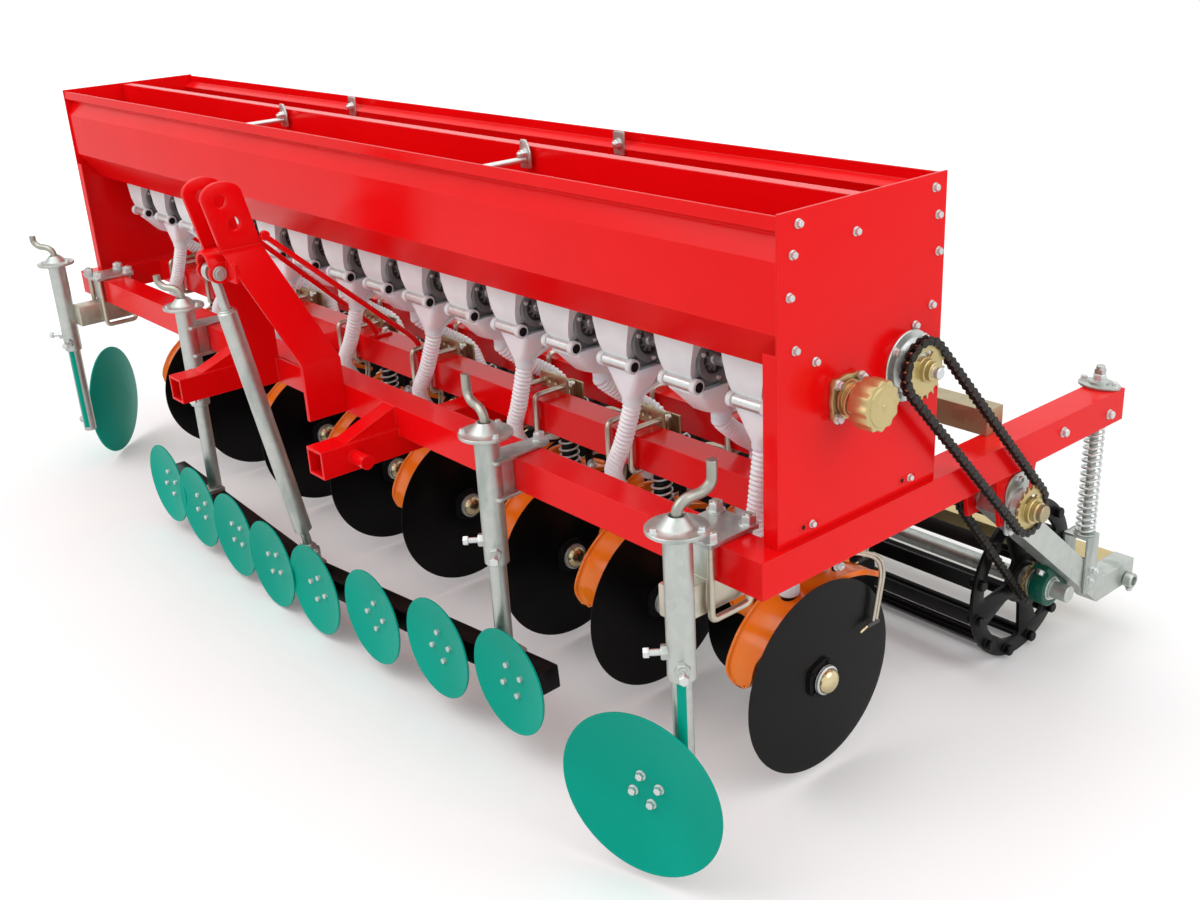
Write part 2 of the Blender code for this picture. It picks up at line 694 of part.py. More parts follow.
def build_openers(shop):
    """The disc blades; front ones take the odd numbers and rear ones the even."""
    profile = (
        (0.0, HUB_FRONT), (HUB_RADIUS * 0.75, HUB_FRONT - 0.006), (HUB_RADIUS, DISC_HALF_THICKNESS),
        (DISC_RADIUS, 0.0), (HUB_RADIUS, -DISC_HALF_THICKNESS), (HUB_RADIUS, -HUB_BACK), (0.0, -HUB_BACK))
    for rank, row in enumerate((FRONT_DISCS_X, REAR_DISCS_X)):
        disc_y = BEAM_FRONT_Y[rank] + DISC_BEHIND_BEAM
        for index, x in enumerate(row):
            centre = (x, disc_y, DISC_Z)
            disc = turned(profile, 20, axis_place(centre, (1, 0, 0)))
            shop.piece(f"opener_disc_{2 * index + 1 + rank:02d}", BLACK, [disc], origin=centre)


def shank_path(disc_y):
    """The middle line of an opener's curved strap, from its tip up and back over the disc."""
    steps = ((-0.139, 0.026), (-0.133, 0.090), (-0.094, 0.163), (-0.020, 0.206), (0.080, 0.192))
    return [(disc_y + y, DISC_Z + z) for y, z in steps]


def lever_outline(disc_y):
    """The arm that carries the disc's hub below the strap."""
    steps = ((-0.088, 0.158), (-0.020, 0.202), (0.062, 0.190), (0.030, -0.022), (-0.030, -0.022))
    return [(disc_y + y, DISC_Z + z) for y, z in steps]


def build_opener_arms(shop):
    """Brackets, levers, straps and seed boots of the openers, each rank on its clamp strip."""
    for rank, (name, row) in enumerate((("opener_arms_front", FRONT_DISCS_X), ("opener_arms_rear", REAR_DISCS_X))):
        rear = BEAM_FRONT_Y[rank] + TUBE + SEAT_GAP
        disc_y = BEAM_FRONT_Y[rank] + DISC_BEHIND_BEAM
        sunk = rear + BRACKET_THICKNESS / 4
        shapes = [block((min(row) + SHANK_OFFSET, sunk, CLAMP_STRIP[0]),
                        (max(row) + SHANK_OFFSET, sunk + BRACKET_THICKNESS, CLAMP_STRIP[1]))]
        strap = offset_strip(shank_path(disc_y), SHANK_THICKNESS)
        lever = lever_outline(disc_y)
        for x in row:
            middle = x + SHANK_OFFSET
            shapes.append(block((middle - BRACKET_HALF_WIDTH, rear, BRACKET_BOTTOM),
                                (middle + BRACKET_HALF_WIDTH, rear + BRACKET_THICKNESS, BRACKET_TOP)))
            for side in (-1, 1):
                low, high = across(side, CHEEK_HALF_GAP, CHEEK_HALF_GAP + CHEEK)
                shapes.append(block((middle + low, rear + BRACKET_THICKNESS / 2, CHEEK_BOTTOM),
                                    (middle + high, rear + CHEEK_DEPTH, CHEEK_TOP)))
            shapes.append(side_plate(lever, x - LEVER_REACH, x - HUB_BACK - SEAT_GAP))
            shapes.append(side_plate(strap, middle - SHANK_WIDTH / 2, middle + SHANK_WIDTH / 2))
            spring = (x + OPENER_SPRING_OFFSET, rear + OPENER_SPRING_SETBACK)
            shapes.append(rod((*spring, OPENER_SPRING_FOOT), (*spring, OPENER_SPRING_TOP),
                              OPENER_SPRING_RADIUS, sides=8))
            boot = (x + BOOT_OFFSET, FOOT_Y[rank])
            shapes.append(rod((*boot, BOOT_TOP - BOOT_LENGTH), (*boot, BOOT_TOP), BOOT_RADIUS, sides=6))
        shop.piece(name, ORANGE, shapes)


def offset_strip(path, thickness):
    """The outline of a bent strip whose middle line is the path."""
    points = [Vector(point) for point in path]
    one, two = [], []
    for index, point in enumerate(points):
        before = point - points[index - 1] if index else points[1] - point
        after = points[index + 1] - point if index + 1 < len(points) else before
        tangent = (before.normalized() + after.normalized()).normalized()
        normal = Vector((-tangent.y, tangent.x))
        stretch = 1.0 / max(0.5, tangent.dot(before.normalized()))
        one.append(tuple(point + normal * thickness / 2 * stretch))
        two.append(tuple(point - normal * thickness / 2 * stretch))
    return one + list(reversed(two))


def dished_plate(radius, dish, thickness, steps, place):
    """A shallow dish with a flat seat in its middle; its rim lies at the place."""
    profile = (
        (0.0, thickness - dish), (SEAT_RADIUS, thickness - dish), (radius, thickness),
        (radius, 0.0), (SEAT_RADIUS, -dish), (0.0, -dish))
    return turned(profile, steps, place)


def gang_line(x):
    """Where the row of levelling plates runs at a place across: along the machine, and up."""
    first, last = GANG_PLATES_X[0] - GANG_BAR_END, GANG_PLATES_X[-1] + GANG_BAR_END
    right = x > GANG_JOINT_X
    end_x, end_y, end_z = (last if right else first), GANG_ENDS_Y[right], GANG_ENDS_Z[right]
    share = (x - GANG_JOINT_X) / (end_x - GANG_JOINT_X)
    return GANG_JOINT_Y + (end_y - GANG_JOINT_Y) * share, GANG_DISC_RADIUS + (end_z - GANG_DISC_RADIUS) * share


def gang_bar_point(x):
    """The middle of the gang's bar at a place across."""
    y, z = gang_line(x)
    return Vector((x, y + GANG_BAR_SETBACK, z))


def gang_seat(x):
    """A level pad on the gang's bar, for a jack's rod or the brace's foot."""
    middle = gang_bar_point(x)
    return block((x - GANG_SEAT_HALF, middle.y - GANG_SEAT_HALF, middle.z),
                 (x + GANG_SEAT_HALF, middle.y + GANG_SEAT_HALF, middle.z + GANG_SEAT_RISE))


def build_gang(shop):
    ends = (GANG_PLATES_X[0] - GANG_BAR_END, GANG_PLATES_X[-1] + GANG_BAR_END)
    joint = gang_bar_point(GANG_JOINT_X)
    shapes = [bar_between(gang_bar_point(x), joint, GANG_BAR, GANG_BAR) for x in ends]
    shapes += [gang_seat(x) for x in (LINK_TOP.x, *(jack.x for jack in INNER_JACKS))]
    for x in GANG_PLATES_X:
        y, z = gang_line(x)
        shapes.append(dished_plate(GANG_DISC_RADIUS, GANG_DISH, GANG_PLATE, 16, axis_place((x, y, z), (0, -1, 0))))
        shapes.append(block((x - GANG_BOSS, y + GANG_DISH - SHEET, z - GANG_BOSS),
                            (x + GANG_BOSS, y + GANG_BAR_SETBACK, z + GANG_BOSS)))
    shop.piece("levelling_gang", GREEN, shapes)


def jack_head(x, y, crank_deg, grip_height):
    """The outer tube of a screw jack with its flange, dome and crank."""
    top = JACK_TOP + JACK_FLANGE
    turn = math.radians(crank_deg)
    out = Vector((math.cos(turn), math.sin(turn), 0.0)) * CRANK_REACH
    base = Vector((x, y, top))
    grip = base + out
    crank = bent_tube((
        base, base + Vector((0, 0, JACK_CONE + 0.008)), base + out * 0.25 + Vector((0, 0, JACK_CONE + 0.020)),
        base + out * 0.75 + Vector((0, 0, JACK_CONE + 0.022)), grip + Vector((0, 0, JACK_CONE + 0.034)),
        grip + Vector((0, 0, JACK_CONE + grip_height))), CRANK_RADIUS)
    return [
        rod((x, y, JACK_TUBE_BOTTOM), (x, y, JACK_TOP), JACK_TUBE_RADIUS, sides=14),
        rod((x, y, JACK_TOP - SHEET), (x, y, top), JACK_FLANGE_RADIUS, sides=18),
        rod((x, y, top - SHEET), (x, y, top + JACK_CONE), JACK_CONE_RADII[0], sides=12,
            end_radius=JACK_CONE_RADII[1]),
        crank,
    ]


def build_inner_jacks(shop):
    for jack in INNER_JACKS:
        x, y = jack.x, jack.y
        shapes = jack_head(x, y, jack.crank_deg, jack.grip)
        low, high = x - JACK_ROD_RADIUS, x + JACK_ROD_RADIUS
        under, over = FRAME_BOTTOM - JACK_CLAMP, FRAME_TOP + JACK_CLAMP
        foot = gang_bar_point(x).z + GANG_SEAT_RISE + SEAT_GAP
        shapes += [
            rod((x, y, foot), (x, y, JACK_TUBE_BOTTOM + JACK_FLANGE), JACK_ROD_RADIUS),
            block((low, y, under), (high, TUBE / 2, FRAME_BOTTOM - SEAT_GAP)),
            block((low, y, FRAME_TOP + SEAT_GAP), (high, TUBE / 2, over)),
            block((low, y, under), (high, -SEAT_GAP, over)),
        ]
        shop.piece(jack.name, ZINC, shapes)


def plate_arm(jack, post, seat, outward):
    """The bar from a side jack's post to the flat seat of its dished plate."""
    start = seat + outward * (SEAT_BOSS - 0.001)
    if jack.seat_side < 0:
        return bent_tube((start, post), PLATE_ARM_RADIUS)
    knee = post + Vector((jack.side * PLATE_ARM_KNEE[0], PLATE_ARM_KNEE[1], 0))
    return bent_tube((start, knee, post), PLATE_ARM_RADIUS)


def build_side_jacks(shop):
    for jack in SIDE_JACKS:
        x, y = jack.side * (FRAME_HALF_WIDTH - jack.inset), jack.y
        turn = math.radians(jack.heading_deg)
        facing = Vector((math.cos(turn), math.sin(turn), 0))
        centre = Vector((x + jack.side * jack.plate_out, y + jack.plate_back, jack.plate_z))
        outward = facing * jack.seat_side
        depth = OUTER_DISH if jack.seat_side < 0 else OUTER_DISH - OUTER_PLATE
        seat = centre - facing * depth + outward * SEAT_GAP
        clamp = jack.side * OUTER_CLAMP_X
        foot = jack.plate_z - SEAT_BOSS_RADIUS
        shapes = jack_head(x, y, jack.crank_deg, jack.grip)
        shapes += [
            rod((x, y, foot), (x, y, JACK_TUBE_BOTTOM + JACK_FLANGE), JACK_ROD_RADIUS),
            block((clamp - OUTER_ARM_HALF, y, FRAME_BOTTOM - OUTER_ARM_DEPTH),
                  (clamp + OUTER_ARM_HALF, OUTER_ARM_REAR_Y, FRAME_BOTTOM - SEAT_GAP)),
            block((clamp - OUTER_CLAMP_HALF, -OUTER_CLAMP_LAP, FRAME_TOP + SEAT_GAP),
                  (clamp + OUTER_CLAMP_HALF, TUBE + OUTER_CLAMP_LAP, FRAME_TOP + JACK_FLANGE)),
            block((clamp - OUTER_ARM_HALF, -JACK_CLAMP, FRAME_BOTTOM - JACK_CLAMP),
                  (clamp + OUTER_ARM_HALF, -SEAT_GAP, FRAME_TOP + JACK_FLANGE / 2)),
            rod(seat, seat + outward * SEAT_BOSS, SEAT_BOSS_RADIUS),
            plate_arm(jack, Vector((x, y, jack.plate_z)), seat, outward),
        ]
        shop.piece(jack.name, ZINC, shapes)
        plate = dished_plate(jack.radius, OUTER_DISH, OUTER_PLATE, 28, axis_place(centre, facing))
        shop.piece(jack.plate_name, GREEN, [plate])


def mast_section(side, x, y, z, slant):
    """One four-cornered section of a mast plate."""
    near, far = x - side * MAST_PLATE / 2, x + side * MAST_PLATE / 2
    return [(near, y, z + slant), (far, y, z - slant),
            (far, y + MAST_WIDTH, z - slant), (near, y + MAST_WIDTH, z + slant)]


def build_mast(shop):
    foot_y = -MAST_WIDTH - SEAT_GAP
    foot_z = FRAME_BOTTOM + SHEET
    shapes = []
    for side in (-1, 1):
        spread = side * MAST_SPREAD
        gap = side * (MAST_HALF_GAP + MAST_PLATE / 2)
        shapes.append(loft([
            mast_section(side, gap, MAST_TOP_Y, MAST_TOP, 0.0),
            mast_section(side, gap, MAST_BEND_Y, MAST_BEND, 0.002),
            mast_section(side, spread, foot_y, MAST_FOOT, 0.002),
            mast_section(side, spread, foot_y, foot_z, 0.0)]))
    low, high = LINK_TOP.z - LINK_EAR_HALF_HEIGHT, LINK_TOP.z + LINK_EAR_HALF_HEIGHT
    shapes.append(block((-LINK_YOKE_HALF, LINK_YOKE_Y[0], low), (LINK_YOKE_HALF, LINK_YOKE_Y[1], high)))
    for side in (-1, 1):
        left, right = across(side, LINK_EAR_GAP, LINK_EAR_GAP + LINK_EAR)
        shapes.append(block((left, LINK_TOP.y - LINK_EAR_HALF_HEIGHT, low), (right, LINK_YOKE_Y[1] - SHEET, high)))
    shapes.append(rod((-LINK_PIN_HALF, LINK_TOP.y, LINK_TOP.z), (LINK_PIN_HALF, LINK_TOP.y, LINK_TOP.z),
                      LINK_PIN_RADIUS))
    shapes.append(block((-MAST_SPREAD, -MAST_FOOT_PLATE - SEAT_GAP, foot_z + SHEET),
                        (MAST_SPREAD, -2 * SEAT_GAP, FRAME_TOP - SHEET)))
    reach = MAST_SPREAD + MAST_WIDTH
    cuts = [rod((-reach, y, z), (reach, y, z), MAST_HOLE_RADIUS, sides=16) for y, z in MAST_HOLES]
    shop.piece("hitch_mast", RED, shapes, cuts)


def build_top_brace(shop):
    pad = gang_bar_point(LINK_TOP.x) + Vector((0, 0, GANG_SEAT_RISE + SEAT_GAP))
    foot = pad + Vector((0, 0, LINK_FOOT_RISE))
    run = (foot - LINK_TOP).normalized()
    overlap = run * LINK_PIN_RADIUS
    head, tail = LINK_TOP + run * LINK_HEAD_NECK, foot - run * LINK_FOOT_NECK
    shapes = [
        rod(head, tail, LINK_RADIUS, sides=14),
        rod(LINK_TOP + run * (LINK_PIN_RADIUS + SEAT_GAP), head + overlap, LINK_NECK, sides=10),
        rod(tail - overlap, foot, LINK_NECK, sides=10),
        block((-LINK_EYE_HALF, pad.y - LINK_FOOT_HALF, pad.z),
              (LINK_EYE_HALF, pad.y + LINK_FOOT_HALF, foot.z + LINK_FOOT_HALF)),
    ]
    shop.piece("top_brace", ZINC, shapes)


def build_drive(shop):
    plate = END_PLATE_OUTER_X + SEAT_GAP
    shaft = (REAR_SHAFT_Y, REAR_SHAFT_Z)
    sprocket = (CHAIN_X - SPROCKET_HALF, CHAIN_X + SPROCKET_HALF)
    dome_end = plate + DRIVE_DOME
    shapes = [
        rod((plate, *shaft), (plate + SHEET, *shaft), DRIVE_DISH_RADIUS, sides=24),
        rod((plate + 0.002, *shaft), (dome_end, *shaft), DRIVE_DOME_RADII[0], sides=24,
            end_radius=DRIVE_DOME_RADII[1]),
        rod((dome_end - SHEET, *shaft), (CHAIN_X + SPROCKET_SHAFT_STUB, *shaft), METER_SHAFT_RADIUS),
        rod((sprocket[0], *shaft), (sprocket[1], *shaft), UPPER_SPROCKET_RADIUS, sides=18),
        rod((CHAIN_X, *shaft), (CHAIN_X + SPROCKET_HUB_STUB, *shaft), DRIVE_HUB_RADIUS),
    ]
    shop.piece("drive_flange", ZINC, shapes)

    knob = (METER_SHAFT_Y, METER_SHAFT_Z)
    shapes = [
        rod((plate, *knob), (plate + KNOB_FLANGE, *knob), KNOB_RADIUS, sides=4),
        rod((plate + SHEET, *knob), (KNOB_FACE_X - KNOB_DEPTH + SHEET, *knob), KNOB_NECK_RADIUS, sides=16),
        rod((KNOB_FACE_X - KNOB_DEPTH, *knob), (KNOB_FACE_X, *knob), KNOB_RADIUS, sides=18),
    ]
    shop.piece("rate_knob", YELLOW_ZINC, shapes)

    rail = FRAME_BOTTOM - SEAT_GAP
    hanger = (
        (COUNTER_Y - HANGER_HALF_TOP, rail), (COUNTER_Y + HANGER_HALF_TOP, rail),
        (COUNTER_Y + HANGER_HALF_FOOT, COUNTER_Z - HANGER_DROP),
        (COUNTER_Y - HANGER_HALF_FOOT, COUNTER_Z - HANGER_DROP))
    for side, name in ((1, "shaft_hanger_right"), (-1, "shaft_hanger_left")):
        left, right = across(side, HANGER_PLATES[0][0], HANGER_PLATES[1][1])
        shapes = [block((left, COUNTER_Y - HANGER_HALF_TOP, rail - HANGER_WEB),
                        (right, COUNTER_Y + HANGER_HALF_TOP, rail))]
        shapes += [side_plate(hanger, *across(side, *plates)) for plates in HANGER_PLATES]
        hole = rod((left - TUBE, COUNTER_Y, COUNTER_Z), (right + TUBE, COUNTER_Y, COUNTER_Z),
                   COUNTER_RADIUS + SEAT_GAP)
        shop.piece(name, RED, shapes, [hole])

    counter = (COUNTER_Y, COUNTER_Z)
    inner = (INNER_CHAIN_X - SPROCKET_HALF, INNER_CHAIN_X + SPROCKET_HALF)
    bearing = HANGER_PLATES[1][1] + SEAT_GAP
    shapes = [
        rod((-FRAME_HALF_WIDTH, *counter), (CHAIN_X + SPROCKET_HUB_STUB, *counter), COUNTER_RADIUS),
        rod((sprocket[0], *counter), (sprocket[1], *counter), COUNTER_SPROCKET_RADIUS, sides=18),
        rod((inner[0], *counter), (inner[1], *counter), INNER_SPROCKET_RADIUS, sides=18),
        rod((bearing, *counter), (bearing + COUNTER_FLANGE, *counter), COUNTER_FLANGE_RADII[0], sides=16,
            end_radius=COUNTER_FLANGE_RADII[1]),
    ]
    shop.piece("counter_shaft", ZINC, shapes)


def chain_loop(one, one_radius, two, two_radius, sides=9):
    """The closed middle line of a chain round two sprockets, in Y and Z."""
    one, two = Vector(one), Vector(two)
    gap = two - one
    heading = math.atan2(gap.y, gap.x)
    lean = math.acos((one_radius - two_radius) / gap.length)
    points = []
    for centre, radius, start, end in (
            (one, one_radius, heading + lean, heading - lean + 2 * math.pi),
            (two, two_radius, heading - lean, heading + lean)):
        for step in range(sides):
            angle = start + (end - start) * step / (sides - 1)
            points.append(centre + radius * Vector((math.cos(angle), math.sin(angle))))
    return points


def build_chain(shop, name, x, one, one_radius, two, two_radius):
    """A chain as a band round its two sprockets; the radii are the sprockets' own."""
    corner = 1.0 / math.cos(math.pi / 16)
    inner = chain_loop(one, (one_radius + CHAIN_SLACK) * corner, two, (two_radius + CHAIN_SLACK) * corner)
    outer = chain_loop(one, one_radius + CHAIN_HEIGHT, two, two_radius + CHAIN_HEIGHT)
    ring = side_plate(outer, x - CHAIN_WIDTH / 2, x + CHAIN_WIDTH / 2)
    core = side_plate(inner, x - CHAIN_WIDTH, x + CHAIN_WIDTH)
    shop.piece(name, CHAIN, [ring], [core])


def build_chains(shop):
    build_chain(shop, "chain_upper", CHAIN_X, (REAR_SHAFT_Y, REAR_SHAFT_Z), UPPER_SPROCKET_RADIUS,
                (COUNTER_Y, COUNTER_Z), COUNTER_SPROCKET_RADIUS)
    build_chain(shop, "chain_lower", INNER_CHAIN_X, (COUNTER_Y, COUNTER_Z), INNER_SPROCKET_RADIUS,
                (ROLLER_Y, ROLLER_Z), INNER_SPROCKET_RADIUS)


def build_roller(shop):
    axle = (ROLLER_Y, ROLLER_Z)
    shapes = [rod((-ROLLER_SHAFT_END_X, *axle), (ROLLER_SHAFT_END_X, *axle), ROLLER_SHAFT_RADIUS)]
    half = ROLLER_PLATE / 2
    inner, outer = ROLLER_RADIUS - ROLLER_RIM_WIDTH, ROLLER_RADIUS
    profile = ((inner, half), (outer, half), (outer, -half), (inner, -half), (inner, half))
    for side in (-1, 1):
        middle = side * ROLLER_PLATE_X
        shapes.append(turned(profile, 24, axis_place((middle, *axle), (1, 0, 0))))
        shapes.append(rod((middle - ROLLER_PLATE, *axle), (middle + ROLLER_PLATE, *axle),
                          ROLLER_HUB_RADIUS, sides=16))
        for spoke in range(ROLLER_SPOKES):
            angle = math.radians(ROLLER_FIRST_SPOKE_DEG + 360 * spoke / ROLLER_SPOKES)
            out = Vector((0, math.cos(angle), math.sin(angle)))
            start = Vector((middle, *axle)) + out * (ROLLER_HUB_RADIUS * 0.8)
            end = Vector((middle, *axle)) + out * (inner + ROLLER_BAR_RADIUS)
            shapes.append(bar_between(start, end, ROLLER_PLATE - 0.001, 2 * ROLLER_SPOKE_HALF))
    for index in range(ROLLER_BARS):
        angle = math.radians(ROLLER_FIRST_BAR_DEG + 360 * index / ROLLER_BARS)
        y = ROLLER_Y + ROLLER_BAR_RING * math.cos(angle)
        z = ROLLER_Z + ROLLER_BAR_RING * math.sin(angle)
        shapes.append(rod((-ROLLER_BAR_END_X, y, z), (ROLLER_BAR_END_X, y, z), ROLLER_BAR_RADIUS, sides=8))
    shapes.append(rod((INNER_CHAIN_X - SPROCKET_HALF, *axle), (INNER_CHAIN_X + SPROCKET_HALF, *axle),
                      ROLLER_SPROCKET_RADIUS, sides=18))
    shapes.append(rod((ROLLER_PLATE_X, *axle), (INNER_CHAIN_X + CHAIN_WIDTH / 2, *axle), ROLLER_COLLAR_RADIUS))
    shop.piece("cage_roller", BLACK, shapes, origin=(0.0, *axle))


def bearing_outline():
    """A pillow block hanging from the arm's sloping underside, in Y and Z."""
    start, bend = Vector(ARM_PATH[0]), Vector(ARM_PATH[1])
    run = (bend - start).normalized()
    down = Vector((run.y, -run.x))
    axis = Vector((ROLLER_Y, ROLLER_Z))
    under = (axis - start).dot(down) - ARM_DEPTH / 2 - SEAT_GAP
    top = axis - down * under
    arc = []
    for step in range(11):
        angle = math.pi * step / 10
        arc.append(axis + run * BEARING_RADIUS * math.cos(angle) + down * BEARING_RADIUS * math.sin(angle))
    base = down * BEARING_BASE
    reach = run * BEARING_HALF_LENGTH
    neck = run * BEARING_RADIUS
    return [top + reach, top + reach + base, top + neck + base, *arc,
            top - neck + base, top - reach + base, top - reach]


def build_roller_arms(shop):
    axle = (ROLLER_Y, ROLLER_Z)
    for side, hand in ((1, "right"), (-1, "left")):
        low, high = across(side, *ARM_X)
        arm = side_plate(offset_strip(ARM_PATH, ARM_DEPTH), low, high)
        hole = rod((low - TUBE, COUNTER_Y, COUNTER_Z), (high + TUBE, COUNTER_Y, COUNTER_Z),
                   COUNTER_RADIUS + SEAT_GAP)
        shop.piece(f"roller_arm_{hand}", ZINC, [arm], [hole])

        low, high = across(side, FRAME_HALF_WIDTH - BEARING_INSET - BEARING_WIDTH, FRAME_HALF_WIDTH - BEARING_INSET)
        bore = rod((low - TUBE, *axle), (high + TUBE, *axle), ROLLER_SHAFT_RADIUS + BORE_CLEARANCE, sides=16)
        shop.piece(f"roller_bearing_{hand}", DARK_GREEN, [side_plate(bearing_outline(), low, high)], [bore])

        x, y = side * SPRING_ROD_X, SPRING_ROD_Y
        near, far = ARM_X[0] - SEAT_GAP - CLEVIS_PLATE, ARM_X[1] + SEAT_GAP + CLEVIS_PLATE
        shapes = [
            rod((x, y, CLEVIS_TOP - SHEET), (x, y, SPRING_ROD_TOP), SPRING_ROD_RADIUS, sides=8),
            rod((x, y, FRAME_TOP + SEAT_GAP), (x, y, FRAME_TOP + JACK_CLAMP), ROD_CAP_RADIUS, sides=16),
            rod((x, y, CLEVIS_TOP - SHEET), (x, y, FRAME_BOTTOM - SEAT_GAP), ROD_SPRING_RADIUS),
        ]
        left, right = across(side, near, far)
        shapes.append(block((left, y - CLEVIS_HALF_DEPTH, CLEVIS_TOP - CLEVIS_PLATE),
                            (right, y + CLEVIS_HALF_DEPTH, CLEVIS_TOP)))
        for edges in ((near, near + CLEVIS_PLATE), (far - CLEVIS_PLATE, far)):
            left, right = across(side, *edges)
            shapes.append(block((left, y - CLEVIS_HALF_DEPTH, CLEVIS_BOTTOM),
                                (right, y + CLEVIS_HALF_DEPTH, CLEVIS_TOP)))
        shop.piece(f"spring_rod_{hand}", ZINC, shapes)

    reach = ARM_X[0] - SEAT_GAP
    middle = ARM_PATH[1][1]
    half = ARM_DEPTH / 2
    shop.piece("arm_cross_bar", YELLOW_ZINC, [
        block((-reach, CROSS_BAR_Y[0], middle - half), (reach, CROSS_BAR_Y[1], middle + half))])


def build_footboard(shop):
    low = FRAME_TOP + SEAT_GAP
    board = block((-STEP_HALF_LENGTH, STEP_Y, low), (STEP_HALF_LENGTH, STEP_Y + STEP, low + STEP))
    shop.piece("rear_step", YELLOW_ZINC, [board])


def place_datum(pieces):
    """Parents every piece to a datum that puts the middle of the outline over the origin."""
    bpy.context.view_layer.update()
    corners = [piece.matrix_world @ vertex.co for piece in pieces for vertex in piece.data.vertices]
    datum = bpy.data.objects.new("datum", None)
    bpy.context.scene.collection.objects.link(datum)
    shift = [-(min(c[axis] for c in corners) + max(c[axis] for c in corners)) / 2 for axis in (0, 1)]
    datum.location = (*shift, -min(c.z for c in corners))
    for piece in pieces:
        piece.parent = datum


def main():
    clear_scene()
    shop = Shop()
    build_frame(shop)
    build_hopper(shop)
    build_meters(shop)
    build_openers(shop)
    build_opener_arms(shop)
    build_gang(shop)
    build_inner_jacks(shop)
    build_side_jacks(shop)
    build_mast(shop)
    build_top_brace(shop)
    build_drive(shop)
    build_chains(shop)
    build_roller(shop)
    build_roller_arms(shop)
    build_footboard(shop)
    place_datum(shop.pieces)


main()
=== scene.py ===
"""The looks of a mounted disc seed drill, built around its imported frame.

Places are given as in the part's own layout: X across the machine with the chains on its
positive side, Y from the hitch to the roller, Z up from the floor, with Y = 0 on the front
face of the front beam. `Layout` moves them into the frame's world.
"""

import logging
import math
from dataclasses import dataclass
from enum import Enum
from typing import Callable, Sequence

import bmesh
import bpy
import numpy as np
from mathutils import Matrix, Vector

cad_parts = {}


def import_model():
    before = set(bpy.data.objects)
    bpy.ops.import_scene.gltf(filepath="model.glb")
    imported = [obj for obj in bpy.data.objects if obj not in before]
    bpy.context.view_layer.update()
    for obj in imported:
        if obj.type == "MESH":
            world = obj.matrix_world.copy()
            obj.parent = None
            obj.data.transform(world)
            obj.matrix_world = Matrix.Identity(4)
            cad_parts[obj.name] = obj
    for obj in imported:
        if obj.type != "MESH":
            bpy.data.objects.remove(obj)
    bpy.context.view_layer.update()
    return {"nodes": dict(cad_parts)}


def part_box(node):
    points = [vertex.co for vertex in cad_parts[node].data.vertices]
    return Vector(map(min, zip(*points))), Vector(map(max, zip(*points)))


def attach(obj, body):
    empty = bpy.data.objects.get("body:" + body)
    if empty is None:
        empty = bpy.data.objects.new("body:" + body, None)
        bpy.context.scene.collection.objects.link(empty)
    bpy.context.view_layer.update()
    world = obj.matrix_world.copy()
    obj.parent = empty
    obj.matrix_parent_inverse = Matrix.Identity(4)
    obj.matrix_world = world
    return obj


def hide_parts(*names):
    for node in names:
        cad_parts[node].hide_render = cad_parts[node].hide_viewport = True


LOG = logging.getLogger("seed_drill")

Colour = tuple[float, float, float]
Point = Sequence[float]
Flat = tuple[float, float]
Outline = Sequence[Flat]

FRAME_BODY = "frame"
ROLLER_BODY = "roller"

DECK = 0.556
TUBE = 0.060
FRAME_BOTTOM = DECK - TUBE
SMOOTH_ANGLE = math.radians(34.0)

ACROSS = (1, 0, 0)
UP = (0, 0, 1)
DISC_Z = 0.194
DISC_ROWS_Y = (0.276, 0.452)
BEAM_BACKS_Y = (0.264, 0.440)
RATE_SHAFT = (0.182, 0.754)
ROLLER_AXIS = (0.862, 0.1625)
YOKE_PIN = (0.0, -0.174, 0.802)
GANG_SEAT = 0.0303


class Val:
    """A number that changes over a surface; sums of it add Math nodes."""

    def __init__(self, sheet: "NodeSheet", socket: bpy.types.NodeSocket) -> None:
        """Keeps the sheet and the socket that carries the number."""
        self.sheet = sheet
        self.socket = socket

    def _math(self, operation: str, one: object, two: object) -> "Val":
        """Adds one Math node for two terms."""
        node = self.sheet.node("ShaderNodeMath", {"operation": operation}, {0: one, 1: two})
        return Val(self.sheet, node.outputs[0])

    def __add__(self, other: object) -> "Val":
        """This value plus another."""
        return self._math("ADD", self, other)

    __radd__ = __add__

    def __sub__(self, other: object) -> "Val":
        """This value less another."""
        return self._math("SUBTRACT", self, other)

    def __rsub__(self, other: object) -> "Val":
        """Another value less this one."""
        return self._math("SUBTRACT", other, self)

    def __mul__(self, other: object) -> "Val":
        """This value times another."""
        return self._math("MULTIPLY", self, other)

    __rmul__ = __mul__

    def clamp(self) -> "Val":
        """This value kept between 0 and 1."""
        node = self.sheet.node("ShaderNodeClamp", {}, {0: self})
        return Val(self.sheet, node.outputs[0])


